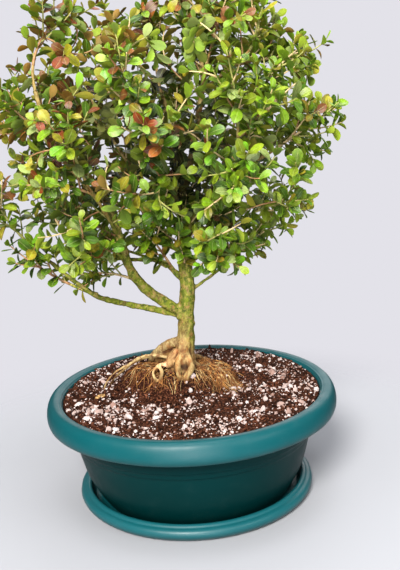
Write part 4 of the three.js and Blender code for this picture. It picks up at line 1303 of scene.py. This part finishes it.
def leaf_colours(place, age, seed):
    """A leaf's colour in the middle and at its edge. Young leaves, on the left and on top, are bronze."""
    warm = 0.25 + 2.2 * smooth(-0.25, 0.4, lattice_noise([place], 34, 15)[0])
    left = smooth(30, -100, place[0]) * smooth(285, 350, place[2]) * warm
    top = smooth(410, 500, place[2]) * (0.4 + 0.6 * warm)
    young = 1 - age
    right = smooth(-20, 90, place[0])
    weights = {
        "dark": 0.25 + 0.26 * age,
        "middle": 0.34 + 0.15 * right,
        "fresh": 0.16 + 0.26 * right + 0.1 * young,
        "dusty": 0.1,
        "olive": 0.08 + 0.32 * left + 0.2 * top,
        "yellow": 0.015 + (0.03 + 0.12 * top + 0.1 * left) * young,
        "lime": 0.015 + 0.03 * young,
        "bronze": 0.005 + (0.4 * left + 0.18 * top) * (0.35 + 0.65 * young),
        "rust": 0.24 * left * (0.3 + 0.7 * young),
        "orange": (0.05 * left + 0.1 * top) * young,
    }
    names = list(weights)
    shares = np.cumsum(list(weights.values()))
    pick = names[np.searchsorted(shares, chance(seed, 61) * shares[-1])]
    # Painted shade: the deeper a leaf lies in the crown, the darker it is painted
    painted_shade = 0.09 + 1.05 * smooth(0.36, 0.86, in_crown(place))
    middle = linear(LEAF_COLOURS[pick]) * (0.92 + 1.04 * chance(seed, 62)) * painted_shade
    outer = linear(LEAF_COLOURS[LEAF_EDGES.get(pick, pick)]) * painted_shade
    return middle, middle + (outer - middle) * (0.75 * chance(seed, 63))


def blade_points(each):
    """The points of all leaves, each a blade that is folded along its midrib, bent and curled."""
    u, v, thick = LEAF_POINTS.T
    blade = np.clip((v - PETIOLE_LENGTH) / (1 - PETIOLE_LENGTH), 0, 1)
    outline = blade ** 0.7 * (1 - blade ** each["fullness"]) ** 0.7
    outline = outline / outline.max(axis=1, keepdims=True)
    outline = np.maximum(outline, PETIOLE_WIDTH * (v > 0) * (v < 0.9))
    half = each["half"] * outline
    length = each["length"]
    across = half * u
    rise = each["fold"] * half * np.abs(u) - 0.35 * each["fold"] * half * u * u
    droop = -each["bend"] * length * v ** 2 + each["curl"] * across * v
    lens = thick * (0.12 + 0.16 * outline) * (outline > 0)
    return (
        each["root"]
        + each["ahead"] * (length * v * (1 - 0.3 * each["bend"] * v))[..., None]
        + each["side"] * across[..., None]
        + each["face"] * (rise + droop + lens)[..., None]
    )


class Foliage:
    """Leaves and twigs of one spray, collected and then added to a skin."""

    def __init__(self):
        self.skin = Skin()
        self.leaves = []
        self.joints = []

    def twig(self, shoot, radii, tint):
        line = shoot.line(shoot.wood_end, 1, TWIG_STEP)
        self.skin.add(*tube(line, np.linspace(*radii, len(line)), TWIG_SIDES), tint, kind=1)
        self.joints.extend((shoot.on(t), shoot.along(t)) for t in np.linspace(shoot.wood_end, 1, 6)[1:-1])

    def leaf(self, root, out, along, lean, length, age, seed):
        ahead = unit(out * math.sin(lean) + along * math.cos(lean))
        face = unit(along * math.sin(lean) - out * math.cos(lean))
        side = np.cross(ahead, face)
        lift = UP - ahead * ahead[2]
        face = unit(face + lift * (0.25 + 0.7 * chance(seed, 71)) + side * 0.8 * sway(seed, 72))
        face = unit(face - ahead * (face @ ahead))
        middle, edge = leaf_colours(root, age, seed)
        self.leaves.append({
            "root": root, "ahead": ahead, "face": face, "side": np.cross(ahead, face), "length": length,
            "half": length * between(LEAF_WIDTH, chance(seed, 73)) / 2,
            "fold": between(LEAF_FOLD, chance(seed, 74)), "bend": between(LEAF_BEND, chance(seed, 75)),
            "curl": LEAF_CURL * sway(seed, 76), "fullness": between(LEAF_FULLNESS, chance(seed, 78)),
            "middle": middle, "edge": edge,
        })

    def to_piece(self, name, materials, wood, *nodes):
        """Makes a piece of the twigs and of the leaves that are clear of the wood and in the part's box."""
        each = {key: np.array([leaf[key] for leaf in self.leaves])[:, None] for key in self.leaves[0]}
        u, v, _ = LEAF_POINTS.T
        points = blade_points(each)
        inside = ((points > CAD_LOW + BOX_MARGIN) & (points < CAD_HIGH - BOX_MARGIN)).all(axis=(1, 2))
        kept = inside & (clearance(points.mean(axis=1), wood) > LEAF_FROM_WOOD)
        count = int(kept.sum())
        edge_share = np.clip(np.abs(u) ** 2 + 0.6 * smooth(0.7, 1, v), 0, 1)[None, :, None]
        tints = each["middle"][kept] * (1 - edge_share) + each["edge"][kept] * edge_share
        # Painted shade: each leaf is darker towards its base; it is paler towards its tip and edges
        tints = tints * (0.62 + 0.46 * smooth(0, 0.8, v) + 0.2 * np.abs(u))[None, :, None]
        size = len(u)
        blades = np.tile(np.column_stack([0.5 + u / 2, v, np.arange(size) < LEAF_TOP]), (count, 1))
        faces = [tuple(i + size * number for i in face) for number in range(count) for face in LEAF_FACES]
        self.skin.add(points[kept].reshape(-1, 3), faces, tints.reshape(-1, 3), blades)
        dress(self.skin.to_object(name, materials), "leaf", *nodes)


def twig_tint(place, seed):
    left = smooth(20, -100, place[0])
    pick = chance(seed, 81)
    name = "brown" if pick < 0.12 + 0.4 * left else "tan" if pick < 0.6 else "green"
    return linear(TWIG_TINTS[name]) * (0.85 + 0.3 * chance(seed, 82))


def grow(foliage, shoot, radii, seed, is_main=False):
    """Grows a twig with its leaf pairs in alternate planes, and side twigs low on a main one."""
    foliage.twig(shoot, radii, twig_tint(shoot.tip, seed))
    leafy = shoot.length * (1 - shoot.wood_end)
    start = unit(stray(seed, 41))
    from_tip = FIRST_NODE
    node = 0
    while from_tip < leafy - LAST_NODE_ROOM:
        t = 1 - from_tip / shoot.length
        root, along = shoot.on(t), shoot.along(t)
        first = unit(start - along * (start @ along))
        second = np.cross(along, first)
        turn = node * math.pi / 2 + 0.25 * sway(seed, node, 44)
        wide = first * math.cos(turn) + second * math.sin(turn)
        age = min(1.0, from_tip / 40 + 0.35 * is_main)
        for side in (1, -1):
            mark = seed * 13 + node * 4 + side + 1
            is_low = is_main and from_tip > LEAFY_END
            if is_low and chance(mark, 45) < SIDE_TWIG_CHANCE:
                side_twig(foliage, root, wide * side, along, mark)
            elif chance(mark, 46) < (LOW_LEAF_CHANCE if is_low else LEAF_CHANCE):
                grown = min(1.0, 0.62 + from_tip / 22)
                lean = math.radians(min(72, 30 + 2.6 * from_tip) + 10 * sway(mark, 48))
                length = between(LEAF_LENGTH, chance(mark, 47)) * grown
                foliage.leaf(root, wide * side, along, lean, length, age, mark)
        from_tip += NODE_GAP * (0.62 + 0.38 * min(1, from_tip / 14)) * (0.85 + 0.3 * chance(seed, node, 49))
        node += 1


def side_twig(foliage, root, out, along, seed):
    lean = math.radians(42 + 12 * sway(seed, 91))
    heading = unit(out * math.sin(lean) + along * math.cos(lean))
    length = between(SIDE_TWIG, chance(seed, 92))
    outward = unit(root - CROWN_MIDDLE)
    later = unit(heading + UP * 0.6 + outward * 0.3 + 0.35 * stray(seed, 93) * (1, 1, 0))
    tip = root + heading * length / 2 + later * length / 2
    grow(foliage, Shoot(root, heading, length, tip), THIN_TWIG, seed)


def in_crown(point):
    """How far out a point is, from 0 at the crown's middle to 1 at its surface."""
    away = point - CROWN_MIDDLE
    distance = np.linalg.norm(away)
    return distance / crown_reach(away / distance)


def is_bare(point):
    """True low on the limbs, where no leafy twigs grow."""
    low = BARE_UNDER["below"] if BARE_UNDER["from"] < point[0] < BARE_UNDER["to"] else INNER_TWIGS_ABOVE
    return point[2] < low


def leaf_middles(leaves):
    return [leaf["root"] + leaf["ahead"] * leaf["length"] / 2 for leaf in leaves]


def fill_crown(foliages):
    """Grows twigs from the nearest wood into whatever part of the crown has no leaf close by."""
    leaves = [middle for foliage in foliages for middle in leaf_middles(foliage.leaves)]
    joints = [(point, along, foliage) for foliage in foliages for point, along in foliage.joints]
    targets = rng.uniform(CAD_LOW, CAD_HIGH, (FILL_TRIES, 3))
    for number, target in enumerate(targets):
        share = in_crown(target)
        if is_bare(target) or not FILL_SHARES[0] < share < FILL_SHARES[1]:
            continue
        if np.linalg.norm(np.array(leaves) - target, axis=1).min() < between(FILL_ROOM, share):
            continue
        away = target - np.array([point for point, _, _ in joints])
        distance = np.linalg.norm(away, axis=1)
        ahead = np.sum(away * np.array([along for _, along, _ in joints]), axis=1)
        cost = np.where(distance < FILL_REACH[0], np.inf, distance - 0.3 * ahead)
        nearest = np.argmin(cost)
        if distance[nearest] > FILL_REACH[1]:
            continue
        point, along, foliage = joints[nearest]
        seed = 20000 + 9 * number
        aside = 0.45 * (stray(seed, 1) * (1, 1, 0) + (0, 0, -0.5))
        heading = unit(unit(away[nearest]) + along * 0.6 + aside)
        known, reached = len(foliage.leaves), len(foliage.joints)
        grow(foliage, Shoot(point, heading, distance[nearest], target), THIN_TWIG, seed)
        leaves.extend(leaf_middles(foliage.leaves[known:]))
        joints.extend((*joint, foliage) for joint in foliage.joints[reached:])


def make_foliage(shoots, places):
    sprays = []
    for number, shoot in enumerate(shoots):
        foliage = Foliage()
        grow(foliage, shoot, SPRAY_TWIG, number + 1, is_main=True)
        sprays.append(foliage)
    inner = inner_twigs(shoots, places)
    fill_crown([*sprays, inner])
    wood = limb_pieces()
    materials = [leaf_material(), tinted_material("young_twigs")]
    for number, foliage in enumerate(sprays):
        node = f"spray_{number + 1:02d}"
        foliage.to_piece(f"leafy_{node}", materials, wood, node)
    inner.to_piece("inner_leafy_twigs", materials, wood)


def make_branches(shoots, material):
    """The bare wood of the shoots, and a stray twig low on the trunk."""
    skin = Skin()
    for shoot in shoots:
        if shoot.wood_end > 0:
            line = shoot.line(0, shoot.wood_end, 4)
            radii = np.linspace(min(0.8 * shoot.radius, BRANCH_THICKEST), BRANCH_TIP_RADIUS, len(line))
            skin.add(*tube(line, radii * (1 + 0.12 * lattice_noise(line, 5, 31)), 8), YOUNG_WOOD)
    line = through(STRAY_TWIG, 3)
    skin.add(*tube(line, np.linspace(*STRAY_TWIG_RADII, len(line)), TWIG_SIDES), STRAY_TWIG_TINT)
    dress(skin.to_object("branchlets", [material]), "bark", "tree_wood")


def inner_twigs(shoots, places):
    """Short leafy twigs on the limbs and branches, inside the crown."""
    foliage = Foliage()
    starts = [(place["point"], place["along"], place["radius"]) for place in places if not place["used"]]
    for shoot in shoots:
        steps = int(shoot.wood_end * shoot.length / LIMB_STEP)
        cuts = np.linspace(0.3, 1, steps + 1) * shoot.wood_end
        starts.extend((shoot.on(t), shoot.along(t), 1.6) for t in cuts)
    for number, (point, along, radius) in enumerate(starts):
        seed = 5000 + 7 * number
        if is_bare(point):
            continue
        foliage.joints.append((point, along))
        if chance(seed, 96) > INNER_TWIG_CHANCE:
            continue
        aside = stray(seed, 97) + (0, 0, 0.25)
        out = unit(aside - along * (aside @ along))
        side_twig(foliage, point + out * radius * 0.6, out, along, seed)
    stem = through(TRUNK["points"], 7)
    widths = spread(TRUNK["radii"], TRUNK["points"], stem)
    for number, (point, radius) in enumerate(zip(stem, widths)):
        if point[2] > TRUNK_LEAFY_FROM:
            for side in ((-1.0, 1.0), (0.0,))[number % 2]:
                seed = 9000 + 11 * number + int(side)
                out = unit((1.1 * side + 0.4 * sway(seed, 1), -1.0, 0.3 * sway(seed, 2)))
                side_twig(foliage, point + out * radius * 0.6, out, UP, seed)
    return foliage


# Stage, lights and camera


def make_stage():
    mesh = bpy.data.meshes.new("floor")
    corners = [(-1, -1, 0), (1, -1, 0), (1, 1, 0), (-1, 1, 0)]
    mesh.from_pydata(np.array(corners) * FLOOR_HALF * MM, [], [(0, 1, 2, 3)])
    mesh.materials.append(floor_material())
    link("floor", mesh)
    world = bpy.data.worlds.new("soft_light")
    bpy.context.scene.world = world
    world.use_nodes = True
    nodes = Nodes(world.node_tree)
    place = nodes.node("ShaderNodeTexCoord").outputs["Generated"]
    height = nodes.node("ShaderNodeSeparateXYZ", {"Vector": place}).outputs["Z"]
    light = nodes.node("ShaderNodeMapRange", {"Value": height, **AMBIENT}).outputs[0]
    ambient = nodes.tree.nodes["Background"]
    nodes.put(ambient.inputs["Color"], linear(AMBIENT_COLOUR))
    nodes.put(ambient.inputs["Strength"], light)
    plain = nodes.node("ShaderNodeBackground", {"Color": linear(PLAIN_COLOUR)})
    seen = nodes.node("ShaderNodeLightPath").outputs["Is Camera Ray"]
    both = nodes.node("ShaderNodeMixShader", {0: seen, 1: ambient.outputs[0], 2: plain.outputs[0]})
    nodes.put(nodes.tree.nodes["World Output"].inputs[0], both.outputs[0])


def make_light(name, place, aim, size, power, colour):
    data = bpy.data.lights.new(name, "AREA")
    data.shape = "DISK"
    data.size = size
    data.energy = power
    data.color = colour
    away = unit(np.subtract(place, aim))
    side = unit(np.cross(UP, away))
    link(name, data).matrix_world = pose(place, side, np.cross(away, side), away)


def pose(place, right, up, back):
    """A placing matrix in metres from three axes and a place in millimetres."""
    columns = np.array([right, up, back, np.array(place) * MM])
    return Matrix([*columns.T.tolist(), (0, 0, 0, 1)])


def make_camera():
    yaw, pitch, roll = CAMERA_YAW, CAMERA_PITCH, CAMERA_ROLL
    ahead = np.array([math.sin(yaw) * math.cos(pitch), math.cos(yaw) * math.cos(pitch), -math.sin(pitch)])
    level = np.array([math.cos(yaw), -math.sin(yaw), 0])
    upright = np.cross(level, ahead)
    right = level * math.cos(roll) + upright * math.sin(roll)
    up = upright * math.cos(roll) - level * math.sin(roll)
    data = bpy.data.cameras.new("camera")
    data.lens = CAMERA_LENS
    data.sensor_width = SENSOR
    camera = link("camera", data)
    camera.matrix_world = pose(CAMERA_PLACE, right, up, -ahead)
    bpy.context.scene.camera = camera


def build():
    make_camera()
    make_stage()
    for name, settings in LIGHTS.items():
        make_light(name, *settings)
    bpy.context.scene.view_settings.view_transform = "Standard"
    bark = bark_material()
    make_saucer()
    make_pot()
    make_soil()
    make_grains()
    make_trunk(bark)
    make_fibres()
    places = limb_places()
    shoots = plan_shoots(places)
    make_branches(shoots, bark)
    make_foliage(shoots, places)


build()
